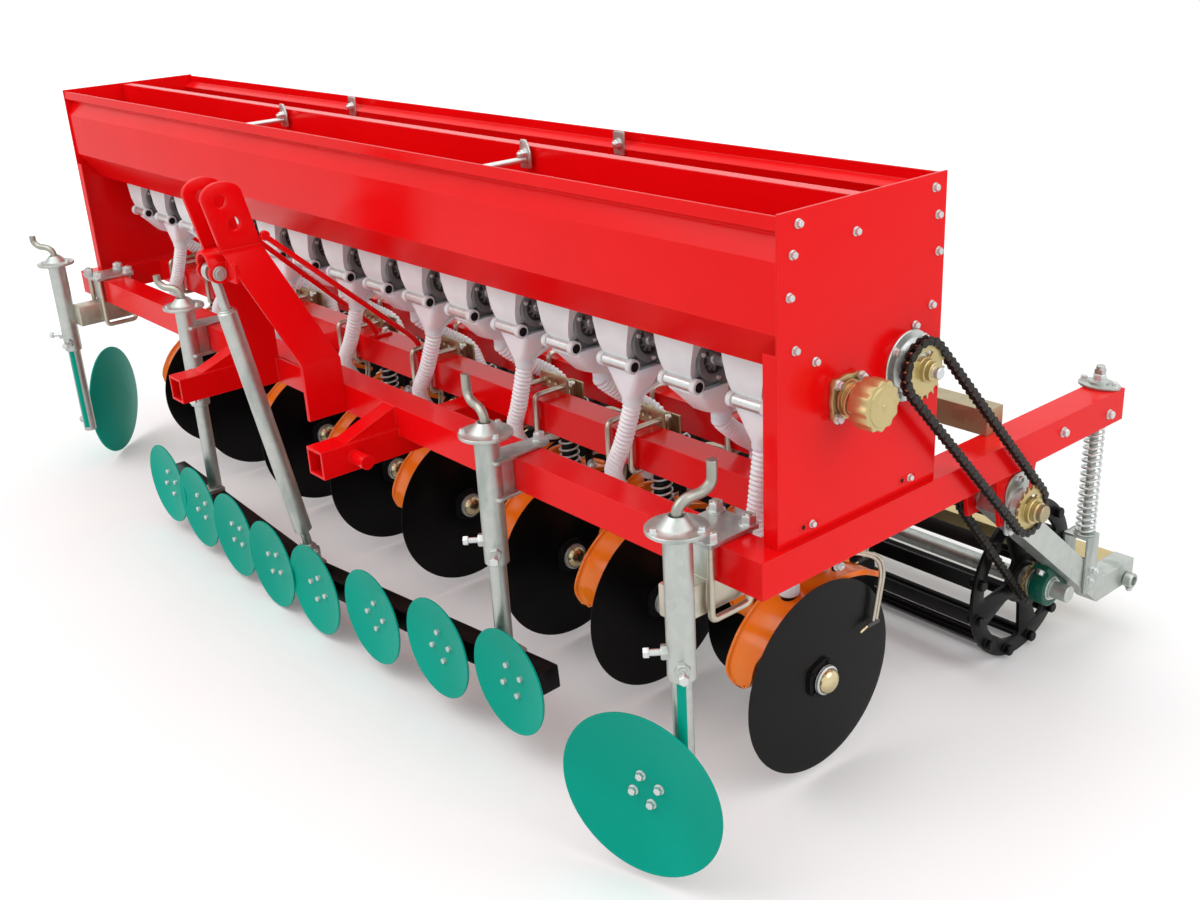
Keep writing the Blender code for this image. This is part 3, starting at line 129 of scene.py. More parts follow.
class NodeSheet:
    """One material's nodes around its Principled shader."""

    def __init__(self, name: str) -> None:
        """Starts a material with its shader and the place on the object.

        Args:
            name: the material's name.
        """
        self.material = bpy.data.materials.new(name)
        self.material.use_nodes = True
        self.tree = self.material.node_tree
        self.shader = self.tree.nodes["Principled BSDF"]
        self.place = self.node("ShaderNodeTexCoord").outputs["Object"]

    def node(self, kind: str, settings: dict[str, object] | None = None,
             inputs: dict[int | str, object] | None = None) -> bpy.types.Node:
        """Adds a node.

        Args:
            kind: the node's type.
            settings: its own settings, set first.
            inputs: values or links for its sockets, by name or number.

        Returns:
            The new node.
        """
        node = self.tree.nodes.new(kind)
        for name, value in (settings or {}).items():
            setattr(node, name, value)
        for key, value in (inputs or {}).items():
            self.feed(node.inputs[key], value)
        return node

    def feed(self, socket: bpy.types.NodeSocket, value: object) -> None:
        """Links a socket, or sets it where the value is a plain number or colour.

        Args:
            socket: the socket to fill.
            value: a link, a number or a colour.
        """
        if isinstance(value, Val):
            value = value.socket
        if isinstance(value, bpy.types.NodeSocket):
            self.tree.links.new(value, socket)
        elif isinstance(value, (tuple, list)) and len(value) == 3 and socket.type == "RGBA":
            socket.default_value = (*value, 1.0)
        else:
            socket.default_value = value

    def noise(self, scale: float, detail: float = 3.0, stretch: Colour = (1.0, 1.0, 1.0)) -> Val:
        """Cloudy noise from 0 to 1 over the surface, in metres; stretch scales each axis.

        Args:
            scale: how many waves or crystals fit in a metre.
            detail: the number of finer layers.
            stretch: the scale of each axis.

        Returns:
            The value.
        """
        mapping = self.node("ShaderNodeMapping", {}, {"Vector": self.place, "Scale": stretch})
        node = self.node("ShaderNodeTexNoise", {},
                         {"Vector": mapping.outputs[0], "Scale": scale, "Detail": detail})
        return Val(self, node.outputs["Fac"])

    def cells(self, scale: float) -> Val:
        """A random value from 0 to 1 for each crystal of a spangled coat.

        Args:
            scale: how many waves or crystals fit in a metre.

        Returns:
            The value.
        """
        node = self.node("ShaderNodeTexVoronoi", {"feature": "F1"},
                         {"Vector": self.place, "Scale": scale, "Randomness": 1.0})
        split = self.node("ShaderNodeSeparateColor", {}, {0: node.outputs["Color"]})
        return Val(self, split.outputs[0])

    def band(self, value: Val, low: float, high: float) -> Val:
        """Rises smoothly from 0 to 1 as a value goes from low to high.

        Args:
            value: the value that is read.
            low: where it starts to rise.
            high: where it reaches 1.

        Returns:
            The value.
        """
        node = self.node("ShaderNodeMapRange", {"interpolation_type": "SMOOTHSTEP"},
                         {"Value": value, "From Min": low, "From Max": high})
        return Val(self, node.outputs[0])

    def mixed(self, share: object, one: object, two: object) -> bpy.types.NodeSocket:
        """A colour between two, by a share from 0 to 1.

        Args:
            share: how much of the second there is, from 0 to 1.
            one: the first colour.
            two: the second colour.

        Returns:
            The mixed colour.
        """
        node = self.node("ShaderNodeMix", {"data_type": "RGBA"},
                         {0: share, 6: one, 7: two})
        return node.outputs[2]

    def rounded(self, radius: float) -> tuple[bpy.types.NodeSocket, Val]:
        """The normal with softened edges, and a mask of how near an edge is.

        Args:
            radius: how far the edges are softened.

        Returns:
            The normal and the mask.
        """
        bevel = self.node("ShaderNodeBevel", {"samples": 4}, {"Radius": radius})
        true = self.node("ShaderNodeNewGeometry")
        dot = self.node("ShaderNodeVectorMath", {"operation": "DOT_PRODUCT"},
                        {0: bevel.outputs[0], 1: true.outputs["Normal"]})
        # Painted highlight: the finishes mix a lighter colour in where this mask is high.
        edge = ((1.0 - Val(self, dot.outputs["Value"])) * 5.0).clamp()
        return bevel.outputs[0], edge

    def bump(self, height: Val, depth: float, normal: bpy.types.NodeSocket | None = None) -> None:
        """Feeds the shader's normal from a height, in metres.

        Args:
            height: the height over the surface.
            depth: how deep it is, in metres.
            normal: the normal that it starts from.
        """
        inputs: dict[int | str, object] = {"Height": height, "Distance": depth, "Strength": 1.0}
        if normal is not None:
            inputs["Normal"] = normal
        node = self.node("ShaderNodeBump", {}, inputs)
        self.feed(self.shader.inputs["Normal"], node.outputs[0])

    def set(self, **values: object) -> None:
        """Sets the shader's sockets; an underscore stands for a space in a name."""
        for name, value in values.items():
            self.feed(self.shader.inputs[name.replace("_", " ")], value)


@dataclass(frozen=True)
class Enamel:
    """Sprayed gloss enamel on steel. Painted highlight: a paler colour along its edges."""

    colour: Colour
    deep: Colour
    pale: Colour
    roughness: float = 0.20
    edge_radius: float = 0.0025
    gloss: float = 0.26

    def make(self, name: str) -> bpy.types.Material:
        """Builds the material.

        Args:
            name: the finish's name.

        Returns:
            The finished material.
        """
        sheet = NodeSheet(name)
        normal, edge = sheet.rounded(self.edge_radius)
        cloud = sheet.noise(3.5, 4.0)
        body = sheet.mixed(sheet.band(cloud, 0.35, 0.70), self.deep, self.colour)
        dust = sheet.noise(60.0, 6.0)
        # Painted highlight: the edge mask mixes the pale colour in along every edge.
        sheet.set(Base_Color=sheet.mixed(edge * 0.45, body, self.pale),
                  Roughness=dust * 0.10 + (self.roughness - 0.05),
                  Specular_IOR_Level=self.gloss)
        sheet.bump(sheet.noise(420.0, 2.0), 0.00012, normal)
        return sheet.material


@dataclass(frozen=True)
class Plating:
    """Zinc plating, plain or yellow: crystals, darker stains and runs down the tube."""

    bright: Colour
    dull: Colour
    stain: Colour
    stained: float = 0.35
    roughness: float = 0.34
    crystal: float = 70.0
    metallic: float = 0.9

    def make(self, name: str) -> bpy.types.Material:
        """Builds the material.

        Args:
            name: the finish's name.

        Returns:
            The finished material.
        """
        sheet = NodeSheet(name)
        normal, edge = sheet.rounded(0.0012)
        crystals = sheet.cells(self.crystal)
        runs = sheet.noise(22.0, 5.0, (1.0, 1.0, 0.25))
        plate = sheet.mixed(crystals * 0.35 + sheet.noise(9.0) * 0.5, self.dull, self.bright)
        stains = sheet.band(runs, 0.50, 0.68) * self.stained
        marked = sheet.mixed(stains, plate, self.stain)
        # Painted highlight: the plate's bright colour is mixed in along every edge.
        sheet.set(Base_Color=sheet.mixed(edge * 0.35, marked, self.bright),
                  Metallic=self.metallic,
                  Roughness=crystals * 0.08 + stains * 0.2 + (self.roughness - 0.03))
        sheet.bump(sheet.noise(260.0, 3.0), 0.00010, normal)
        return sheet.material


@dataclass(frozen=True)
class BlackPaint:
    """Satin black paint with dust; its sharp edges turn grey. Painted highlight there, with some scuffing."""

    colour: Colour = (0.003, 0.003, 0.003)
    dusty: Colour = (0.010, 0.010, 0.010)
    edge_scuff_and_highlight: Colour = (0.16, 0.16, 0.16)
    edge_scuff_and_highlight_share: float = 0.25
    roughness: float = 0.30
    gloss: float = 0.16

    def make(self, name: str) -> bpy.types.Material:
        """Builds the material.

        Args:
            name: the finish's name.

        Returns:
            The finished material.
        """
        sheet = NodeSheet(name)
        normal, edge = sheet.rounded(0.0015)
        cloud = sheet.band(sheet.noise(7.0, 6.0), 0.45, 0.80)
        body = sheet.mixed(cloud * 0.5, self.colour, self.dusty)
        # Painted highlight with some scuffing: the edge mask mixes grey in along every edge.
        sheet.set(Base_Color=sheet.mixed(edge * self.edge_scuff_and_highlight_share, body, self.edge_scuff_and_highlight),
                  Roughness=cloud * 0.18 + self.roughness, Specular_IOR_Level=self.gloss)
        sheet.bump(sheet.noise(180.0, 4.0), 0.00010, normal)
        return sheet.material


@dataclass(frozen=True)
class Moulding:
    """Moulded plastic: milky and slightly see-through, or dense."""

    colour: Colour
    shade: Colour
    roughness: float = 0.38
    glow: float = 0.0

    def make(self, name: str) -> bpy.types.Material:
        """Builds the material.

        Args:
            name: the finish's name.

        Returns:
            The finished material.
        """
        sheet = NodeSheet(name)
        normal, _ = sheet.rounded(0.0012)
        cloud = sheet.noise(14.0, 3.0)
        sheet.set(Base_Color=sheet.mixed(sheet.band(cloud, 0.3, 0.75), self.shade, self.colour),
                  Roughness=sheet.noise(50.0) * 0.12 + (self.roughness - 0.06),
                  Subsurface_Weight=self.glow, Subsurface_Scale=0.02)
        sheet.bump(sheet.noise(300.0, 2.0), 0.00006, normal)
        return sheet.material


@dataclass(frozen=True)
class OiledSteel:
    """Dark oiled chain steel, brighter along its edges. Painted highlight there, with some scuffing."""

    colour: Colour = (0.020, 0.017, 0.015)
    scuffed_and_highlight: Colour = (0.18, 0.16, 0.14)

    def make(self, name: str) -> bpy.types.Material:
        """Builds the material.

        Args:
            name: the finish's name.

        Returns:
            The finished material.
        """
        sheet = NodeSheet(name)
        normal, edge = sheet.rounded(0.0008)
        # Painted highlight with some scuffing: the edge mask mixes a bright colour in along every edge.
        sheet.set(Base_Color=sheet.mixed(edge * 0.6, self.colour, self.scuffed_and_highlight),
                  Metallic=0.7, Roughness=sheet.noise(120.0) * 0.2 + 0.30)
        sheet.bump(sheet.noise(400.0), 0.00008, normal)
        return sheet.material


class Coat(Enum):
    """The finishes of the machine."""

    RED = "red_gloss"
    ORANGE = "orange_gloss"
    TEAL = "teal_gloss"
    DARK_GREEN = "bearing_green"
    ZINC = "zinc"
    BRIGHT_ZINC = "bright_zinc"
    OLIVE_ZINC = "olive_zinc"
    GOLD_ZINC = "gold_zinc"
    NICKEL = "warm_nickel"
    STEEL = "dull_steel"
    COPPER = "copper_plate"
    BLACK = "black_paint"
    RUBBER = "black_rubber"
    CHAIN = "chain_steel"
    MILKY = "milky_plastic"
    HOSE = "hose_plastic"
    WHITE = "white_casting"
    GREY = "grey_casting"
    DARK_GREY = "dark_casting"
    BRASS = "brass_cap"


RECIPES = {
    Coat.RED: Enamel((0.82, 0.003, 0.005), (0.77, 0.002, 0.003), (0.95, 0.10, 0.09), 0.18, 0.0022, 0.14),
    Coat.ORANGE: Enamel((1.0, 0.23, 0.012), (0.97, 0.19, 0.009), (1.0, 0.46, 0.18), 0.14, 0.0025, 0.34),
    Coat.TEAL: Enamel((0.0, 0.36, 0.265), (0.0, 0.31, 0.225), (0.03, 0.58, 0.46), 0.36, 0.0015, 0.07),
    Coat.DARK_GREEN: Enamel((0.002, 0.11, 0.07), (0.001, 0.08, 0.05), (0.05, 0.25, 0.18), 0.28),
    Coat.ZINC: Plating((0.62, 0.65, 0.62), (0.46, 0.49, 0.46), (0.25, 0.31, 0.28), 0.5, 0.38),
    Coat.BRIGHT_ZINC: Plating((0.76, 0.79, 0.78), (0.62, 0.65, 0.64),
                              (0.46, 0.48, 0.46), 0.2, 0.36, 120.0, 0.85),
    Coat.STEEL: Plating((0.47, 0.47, 0.42), (0.35, 0.35, 0.30), (0.24, 0.25, 0.21), 0.4, 0.36, 60.0, 0.90),
    Coat.OLIVE_ZINC: Plating((0.56, 0.48, 0.30), (0.34, 0.29, 0.17),
                             (0.42, 0.33, 0.24), 0.4, 0.36, 45.0, 0.85),
    Coat.GOLD_ZINC: Plating((0.66, 0.54, 0.27), (0.52, 0.42, 0.19),
                            (0.46, 0.36, 0.20), 0.3, 0.36, 60.0, 0.80),
    Coat.NICKEL: Plating((0.70, 0.66, 0.56), (0.50, 0.46, 0.37), (0.42, 0.38, 0.28), 0.3, 0.32, 60.0, 0.85),
    Coat.COPPER: Plating((0.78, 0.42, 0.20), (0.58, 0.30, 0.14), (0.45, 0.25, 0.18), 0.3, 0.32, 60.0),
    Coat.BLACK: BlackPaint(),
    Coat.RUBBER: BlackPaint((0.006, 0.006, 0.006), (0.02, 0.02, 0.02), (0.05, 0.05, 0.05), 0.1, 0.6),
    Coat.CHAIN: OiledSteel(),
    Coat.MILKY: Moulding((0.90, 0.91, 0.94), (0.84, 0.85, 0.89), 0.34, 0.35),
    Coat.HOSE: Moulding((0.92, 0.93, 0.97), (0.88, 0.89, 0.93), 0.42, 0.30),
    Coat.WHITE: Moulding((0.78, 0.80, 0.81), (0.68, 0.70, 0.72), 0.36),
    Coat.GREY: Moulding((0.20, 0.21, 0.21), (0.13, 0.135, 0.14), 0.40),
    Coat.DARK_GREY: Moulding((0.055, 0.055, 0.055), (0.035, 0.035, 0.035), 0.42),
    Coat.BRASS: Plating((0.82, 0.70, 0.42), (0.66, 0.55, 0.32), (0.50, 0.42, 0.28), 0.25, 0.24, 40.0, 0.95),
}


class PaintShop:
    """Makes each finish once and hands it out."""

    def __init__(self) -> None:
        """Starts with no finish made."""
        self.made: dict[Coat, bpy.types.Material] = {}

    def get(self, coat: Coat) -> bpy.types.Material:
        """The material of a finish.

        Args:
            coat: the finish.

        Returns:
            The finished material.
        """
        if coat not in self.made:
            self.made[coat] = RECIPES[coat].make(coat.value)
        return self.made[coat]


@dataclass
class Form:
    """A closed shape as plain arrays, which can be placed many times."""

    points: np.ndarray
    faces: list[tuple[int, ...]]

    def moved(self, place: Matrix) -> "Form":
        """The same shape under a matrix."""
        turn = np.array(place, float)
        return Form(self.points @ turn[:3, :3].T + turn[:3, 3], self.faces)

    def along(self, offset: Point) -> "Form":
        """The same shape shifted."""
        return Form(self.points + np.array(offset, float), self.faces)


def from_bmesh(bm: bmesh.types.BMesh) -> Form:
    """Takes the shape out of a bmesh and frees it.

    Args:
        bm: the mesh, which is freed.

    Returns:
        The shape.
    """
    bm.verts.ensure_lookup_table()
    bm.verts.index_update()
    points = np.array([vert.co[:] for vert in bm.verts], float)
    faces = [tuple(vert.index for vert in face.verts) for face in bm.faces]
    bm.free()
    return Form(points, faces)


def aimed(centre: Point, axis: Point, spin: float = 0.0) -> Matrix:
    """A placement whose Z points along an axis, spun about it by an angle in radians."""
    turn = Vector(axis).to_track_quat("Z", "Y").to_matrix().to_4x4()
    return Matrix.Translation(Vector(centre)) @ turn @ Matrix.Rotation(spin, 4, "Z")


def box(low: Point, high: Point, edge: float = 0.0015) -> Form:
    """A box between two corners with rounded edges.

    Args:
        low: the lower corner.
        high: the upper corner.
        edge: how far the edges are rounded.

    Returns:
        The shape.
    """
    low, high = Vector(low), Vector(high)
    bm = bmesh.new()
    bmesh.ops.create_cube(bm, size=1.0, matrix=Matrix.Translation((low + high) / 2)
                          @ Matrix.Diagonal((*(high - low), 1.0)))
    edge = min(edge, 0.45 * min(high - low))
    bmesh.ops.bevel(bm, geom=list(bm.edges), offset=edge, segments=2, profile=0.6, affect="EDGES")
    return from_bmesh(bm)


def slanted_box(start: Point, end: Point, width: float, depth: float, edge: float = 0.0015) -> Form:
    """A rectangular bar from one point to another.

    Args:
        start: where it starts.
        end: where it ends.
        width: its width.
        depth: its depth.
        edge: how far the edges are rounded.

    Returns:
        The shape.
    """
    length = (Vector(end) - Vector(start)).length
    form = box((-width / 2, -depth / 2, 0), (width / 2, depth / 2, length), edge)
    return form.moved(aimed(start, Vector(end) - Vector(start)))


def lathed(profile: Outline, sides: int = 32) -> Form:
    """A solid of revolution about Z; the profile lists radius and height.

    Args:
        profile: the radius and height of each corner.
        sides: the number of sides.

    Returns:
        The shape.
    """
    points: list[tuple[float, float, float]] = []
    rings: list[list[int]] = []
    for radius, height in profile:
        if radius < 1e-6:
            points.append((0.0, 0.0, height))
            rings.append([len(points) - 1])
            continue
        ring = []
        for step in range(sides):
            angle = 2 * math.pi * step / sides
            points.append((radius * math.cos(angle), radius * math.sin(angle), height))
            ring.append(len(points) - 1)
        rings.append(ring)
    faces: list[tuple[int, ...]] = []
    for one, two in zip(rings, rings[1:]):
        for step in range(sides):
            after = (step + 1) % sides
            if len(one) == 1:
                faces.append((one[0], two[after], two[step]))
            elif len(two) == 1:
                faces.append((one[step], one[after], two[0]))
            else:
                faces.append((one[step], one[after], two[after], two[step]))
    for ring, flip in ((rings[0], True), (rings[-1], False)):
        if len(ring) > 1:
            faces.append(tuple(reversed(ring)) if flip else tuple(ring))
    return Form(np.array(points, float), faces)


def round_bar(start: Point, end: Point, radius: float, sides: int = 28, chamfer: float = 0.0012) -> Form:
    """A round bar with broken edges.

    Args:
        start: where it starts.
        end: where it ends.
        radius: its radius.
        sides: the number of sides.
        chamfer: how far the ends are broken.

    Returns:
        The shape.
    """
    start, end = Vector(start), Vector(end)
    length = (end - start).length
    chamfer = min(chamfer, radius * 0.4, length * 0.4)
    profile = ((0.0, 0.0), (radius - chamfer, 0.0), (radius, chamfer),
               (radius, length - chamfer), (radius - chamfer, length), (0.0, length))
    return lathed(profile, sides).moved(aimed(start, end - start))


def pipe(start: Point, end: Point, radius: float, bore: float, sides: int = 28) -> Form:
    """A tube with a real bore.

    Args:
        start: where it starts.
        end: where it ends.
        radius: its radius.
        bore: the radius of the bore.
        sides: the number of sides.

    Returns:
        The shape.
    """
    start, end = Vector(start), Vector(end)
    length = (end - start).length
    chamfer = (radius - bore) * 0.3
    ring = [(bore, 0.0), (radius - chamfer, 0.0), (radius, chamfer), (radius, length - chamfer),
            (radius - chamfer, length), (bore, length), (bore, 0.0)]
    return ring_lathed(ring, sides).moved(aimed(start, end - start))


def ring_lathed(profile: Outline, sides: int = 32) -> Form:
    """A ring about Z: the profile is a closed loop that stays off the axis.

    Args:
        profile: the radius and height of each corner.
        sides: the number of sides.

    Returns:
        The shape.
    """
    loop = list(profile[:-1]) if profile[0] == profile[-1] else list(profile)
    count = len(loop)
    points = []
    for step in range(sides):
        angle = 2 * math.pi * step / sides
        points += [(radius * math.cos(angle), radius * math.sin(angle), height) for radius, height in loop]
    faces = []
    for step in range(sides):
        one, two = step * count, ((step + 1) % sides) * count
        for index in range(count):
            after = (index + 1) % count
            faces.append((one + index, two + index, two + after, one + after))
    return Form(np.array(points, float), faces)


def eased(path: Sequence[Point], radius: float, steps: int = 6) -> list[Vector]:
    """The path with its corners turned into arcs.

    Args:
        path: the points to pass.
        radius: how far from a corner its arc starts.
        steps: how finely it is drawn.

    Returns:
        The points in order.
    """
    points = [Vector(point) for point in path]
    out = [points[0]]
    for before, here, after in zip(points, points[1:], points[2:]):
        back, ahead = (before - here), (after - here)
        reach = min(radius, back.length * 0.48, ahead.length * 0.48)
        one, two = here + back.normalized() * reach, here + ahead.normalized() * reach
        for step in range(steps + 1):
            t = step / steps
            out.append(one * (1 - t) ** 2 + here * (2 * t * (1 - t)) + two * t ** 2)
    out.append(points[-1])
    return out


def spaced(path: Sequence[Vector], gap: float) -> list[Vector]:
    """Points at even distances along a path.

    Args:
        path: the points to pass.
        gap: the distance from point to point.

    Returns:
        The points in order.
    """
    points = np.array([tuple(point) for point in path])
    run = np.concatenate([[0.0], np.cumsum(np.linalg.norm(np.diff(points, axis=0), axis=1))])
    count = max(2, int(round(run[-1] / gap)) + 1)
    at = np.linspace(0.0, run[-1], count)
    return [Vector(tuple(np.interp(s, run, points[:, axis]) for axis in range(3))) for s in at]


def skinned(points: Sequence[Point], rows: int, sides: int) -> Form:
    """A closed skin over rows of the same number of points, with a flat face at both ends.

    Args:
        points: the points, row after row.
        rows: the number of rows.
        sides: the number of points in a row.

    Returns:
        The shape.
    """
    faces: list[tuple[int, ...]] = []
    for row in range(rows - 1):
        one, two = row * sides, (row + 1) * sides
        for step in range(sides):
            after = (step + 1) % sides
            faces.append((one + step, one + after, two + after, two + step))
    faces.append(tuple(reversed(range(sides))))
    faces.append(tuple(range((rows - 1) * sides, rows * sides)))
    return Form(np.array([tuple(point) for point in points], float), faces)


def swept(path: Sequence[Vector], radius: float | Callable[[int], float], sides: int = 14) -> Form:
    """A round section carried along a path; the radius may change from point to point.

    Args:
        path: the points to pass.
        radius: one radius, or one for each point by its number.
        sides: the number of sides.

    Returns:
        The shape.
    """
    points = [Vector(point) for point in path]
    count = len(points)
    tangents = []
    for index in range(count):
        tangents.append((points[min(index + 1, count - 1)] - points[max(index - 1, 0)]).normalized())
    side = tangents[0].orthogonal().normalized()
    rows: list[Vector] = []
    for index, (point, tangent) in enumerate(zip(points, tangents)):
        side = (side - tangent * side.dot(tangent)).normalized()
        up = tangent.cross(side)
        size = radius(index) if callable(radius) else radius
        for step in range(sides):
            angle = 2 * math.pi * step / sides
            rows.append(point + side * (size * math.cos(angle)) + up * (size * math.sin(angle)))
    return skinned(rows, count, sides)


def coil(foot: Point, top: Point, radius: float, wire: float, turns: float, sides: int = 8,
         per_turn: int = 20) -> Form:
    """A helical spring between two points, its last turns closed flat.

    Args:
        foot: the lower end.
        top: the upper end.
        radius: the radius of the wire's middle line.
        wire: the wire's radius.
        turns: the number of turns.
        sides: the number of sides.
        per_turn: the points of each turn.

    Returns:
        The shape.
    """
    foot, top = Vector(foot), Vector(top)
    place = aimed(foot, top - foot)
    length = (top - foot).length
    count = int(turns * per_turn)
    path = []
    for index in range(count + 1):
        share = index / count
        closing = share + 0.35 / turns * math.sin(2 * math.pi * share) * -0.5
        height = wire + (length - 2 * wire) * min(max(closing, 0.0), 1.0)
        angle = 2 * math.pi * turns * share
        path.append(place @ Vector((radius * math.cos(angle), radius * math.sin(angle), height)))
    return swept(path, wire, sides)


def lofted(sections: Sequence[Sequence[Point]]) -> Form:
    """A closed skin through sections of the same number of points."""
    return skinned([point for section in sections for point in section], len(sections), len(sections[0]))


def plate(outlines: Sequence[Outline], thickness: float, place: Matrix,
          edge: float = 0.0008) -> Form:
    """A flat plate from an outline and its holes, with rounded edges, placed by a matrix.

    Args:
        outlines: the outline, then its holes.
        thickness: the plate's thickness.
        place: where its middle plane lies.
        edge: how far the edges are rounded.

    Returns:
        The shape.
    """
    curve = bpy.data.curves.new("outline", "CURVE")
    curve.dimensions = "2D"
    curve.fill_mode = "BOTH"
    curve.extrude = max(thickness / 2 - edge, 1e-5)
    curve.bevel_depth = edge
    curve.bevel_resolution = 1
    curve.offset = -edge
    for outline in outlines:
        spline = curve.splines.new("POLY")
        spline.points.add(len(outline) - 1)
        for point, (u, v) in zip(spline.points, outline):
            point.co = (u, v, 0.0, 1.0)
        spline.use_cyclic_u = True
    obj = bpy.data.objects.new("outline", curve)
    bpy.context.scene.collection.objects.link(obj)
    mesh = bpy.data.meshes.new_from_object(obj.evaluated_get(bpy.context.evaluated_depsgraph_get()))
    bpy.data.objects.remove(obj, do_unlink=True)
    bpy.data.curves.remove(curve)
    bm = bmesh.new()
    bm.from_mesh(mesh)
    bpy.data.meshes.remove(mesh)
    bmesh.ops.remove_doubles(bm, verts=bm.verts, dist=2e-6)
    return from_bmesh(bm).moved(place)


SIDE_ON = Matrix(((0, 0, 1, 0), (1, 0, 0, 0), (0, 1, 0, 0), (0, 0, 0, 1)))


def side_plate(outlines: Sequence[Outline], low: float, high: float,
               edge: float = 0.0008) -> Form:
    """A plate whose outlines lie in Y and Z, between two places in X."""
    place = Matrix.Translation(((low + high) / 2, 0, 0)) @ SIDE_ON
    return plate(outlines, abs(high - low), place, edge)


FACE_ON = Matrix(((1, 0, 0, 0), (0, 0, -1, 0), (0, 1, 0, 0), (0, 0, 0, 1)))


def face_plate(outlines: Sequence[Outline], low: float, high: float,
               edge: float = 0.0008) -> Form:
    """A plate whose outlines lie in X and Z, from one Y to another."""
    place = Matrix.Translation((0, (low + high) / 2, 0)) @ FACE_ON
    return plate(outlines, high - low, place, edge)


def top_plate(outlines: Sequence[Outline], low: float, high: float,
              edge: float = 0.0008) -> Form:
    """A plate whose outlines lie in X and Y, from one Z to another."""
    return plate(outlines, high - low, Matrix.Translation((0, 0, (low + high) / 2)), edge)


def rectangle(low: Flat, high: Flat, radius: float = 0.0) -> list[Flat]:
    """A rectangular outline, its corners rounded if a radius is given."""
    corners = [(low[0], low[1]), (high[0], low[1]), (high[0], high[1]), (low[0], high[1])]
    return softened(corners, radius) if radius else corners


def polar(centre: Flat, radius: float, angle: float) -> Flat:
    """The place at a distance and an angle from a centre."""
    return (centre[0] + radius * math.cos(angle), centre[1] + radius * math.sin(angle))


def arc(first: float, last: float, steps: int) -> list[float]:
    """Even angles from the first to the last."""
    return [first + (last - first) * step / steps for step in range(steps + 1)]


def circle(centre: Flat, radius: float, steps: int = 24) -> list[Flat]:
    """A round outline."""
    return [polar(centre, radius, angle) for angle in arc(0.0, 2 * math.pi, steps)[:-1]]


def softened(outline: Outline, radius: float, steps: int = 4) -> list[Flat]:
    """A closed outline with its corners rounded.

    Args:
        outline: the corners in order.
        radius: how far from a corner its arc starts.
        steps: how finely it is drawn.

    Returns:
        The outline.
    """
    points = [Vector((*point, 0.0)) for point in outline]
    out = []
    for index, here in enumerate(points):
        back = points[index - 1] - here
        ahead = points[(index + 1) % len(points)] - here
        reach = min(radius, back.length * 0.45, ahead.length * 0.45)
        one, two = here + back.normalized() * reach, here + ahead.normalized() * reach
        for step in range(steps + 1):
            t = step / steps
            point = one * (1 - t) ** 2 + here * (2 * t * (1 - t)) + two * t ** 2
            out.append((point.x, point.y))
    return out


def hex_head(across: float, height: float) -> Form:
    """A six-sided head with broken corners, its seat at the origin.

    Args:
        across: the width across flats.
        height: its height.

    Returns:
        The shape.
    """
    radius = across / math.sqrt(3)
    return lathed(((0.0, 0.0), (radius, 0.0), (radius, height * 0.82), (radius * 0.88, height),
                   (0.0, height)), 6)


class Layout:
    """Where the part's own layout lies in the frame's world."""

    front_of_hitch = -0.169

    def __init__(self) -> None:
        """Finds the layout's zero from the main frame's box."""
        low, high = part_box("main_frame")
        self.datum = Vector(((low.x + high.x) / 2, low.y - self.front_of_hitch, 0.0))


class Workshop:
    """Holds what pieces are built with and paints the frame's own nodes."""

    def __init__(self, layout: Layout, nodes: dict[str, bpy.types.Object]) -> None:
        """Keeps what the pieces are built with.

        Args:
            layout: where the part's layout lies in the world.
            nodes: the frame's own objects by name.
        """
        self.layout = layout
        self.nodes = nodes
        self.paint = PaintShop()

    def dress(self, coat: Coat, *names: str) -> None:
        """Gives the frame's own nodes a finish.

        Args:
            coat: the finish.
            names: the nodes' names.
        """
        for name in names:
            mesh = self.nodes[name].data
            mesh.materials.clear()
            mesh.materials.append(self.paint.get(coat))
            LOG.info("dressed %s in %s", name, coat.value)


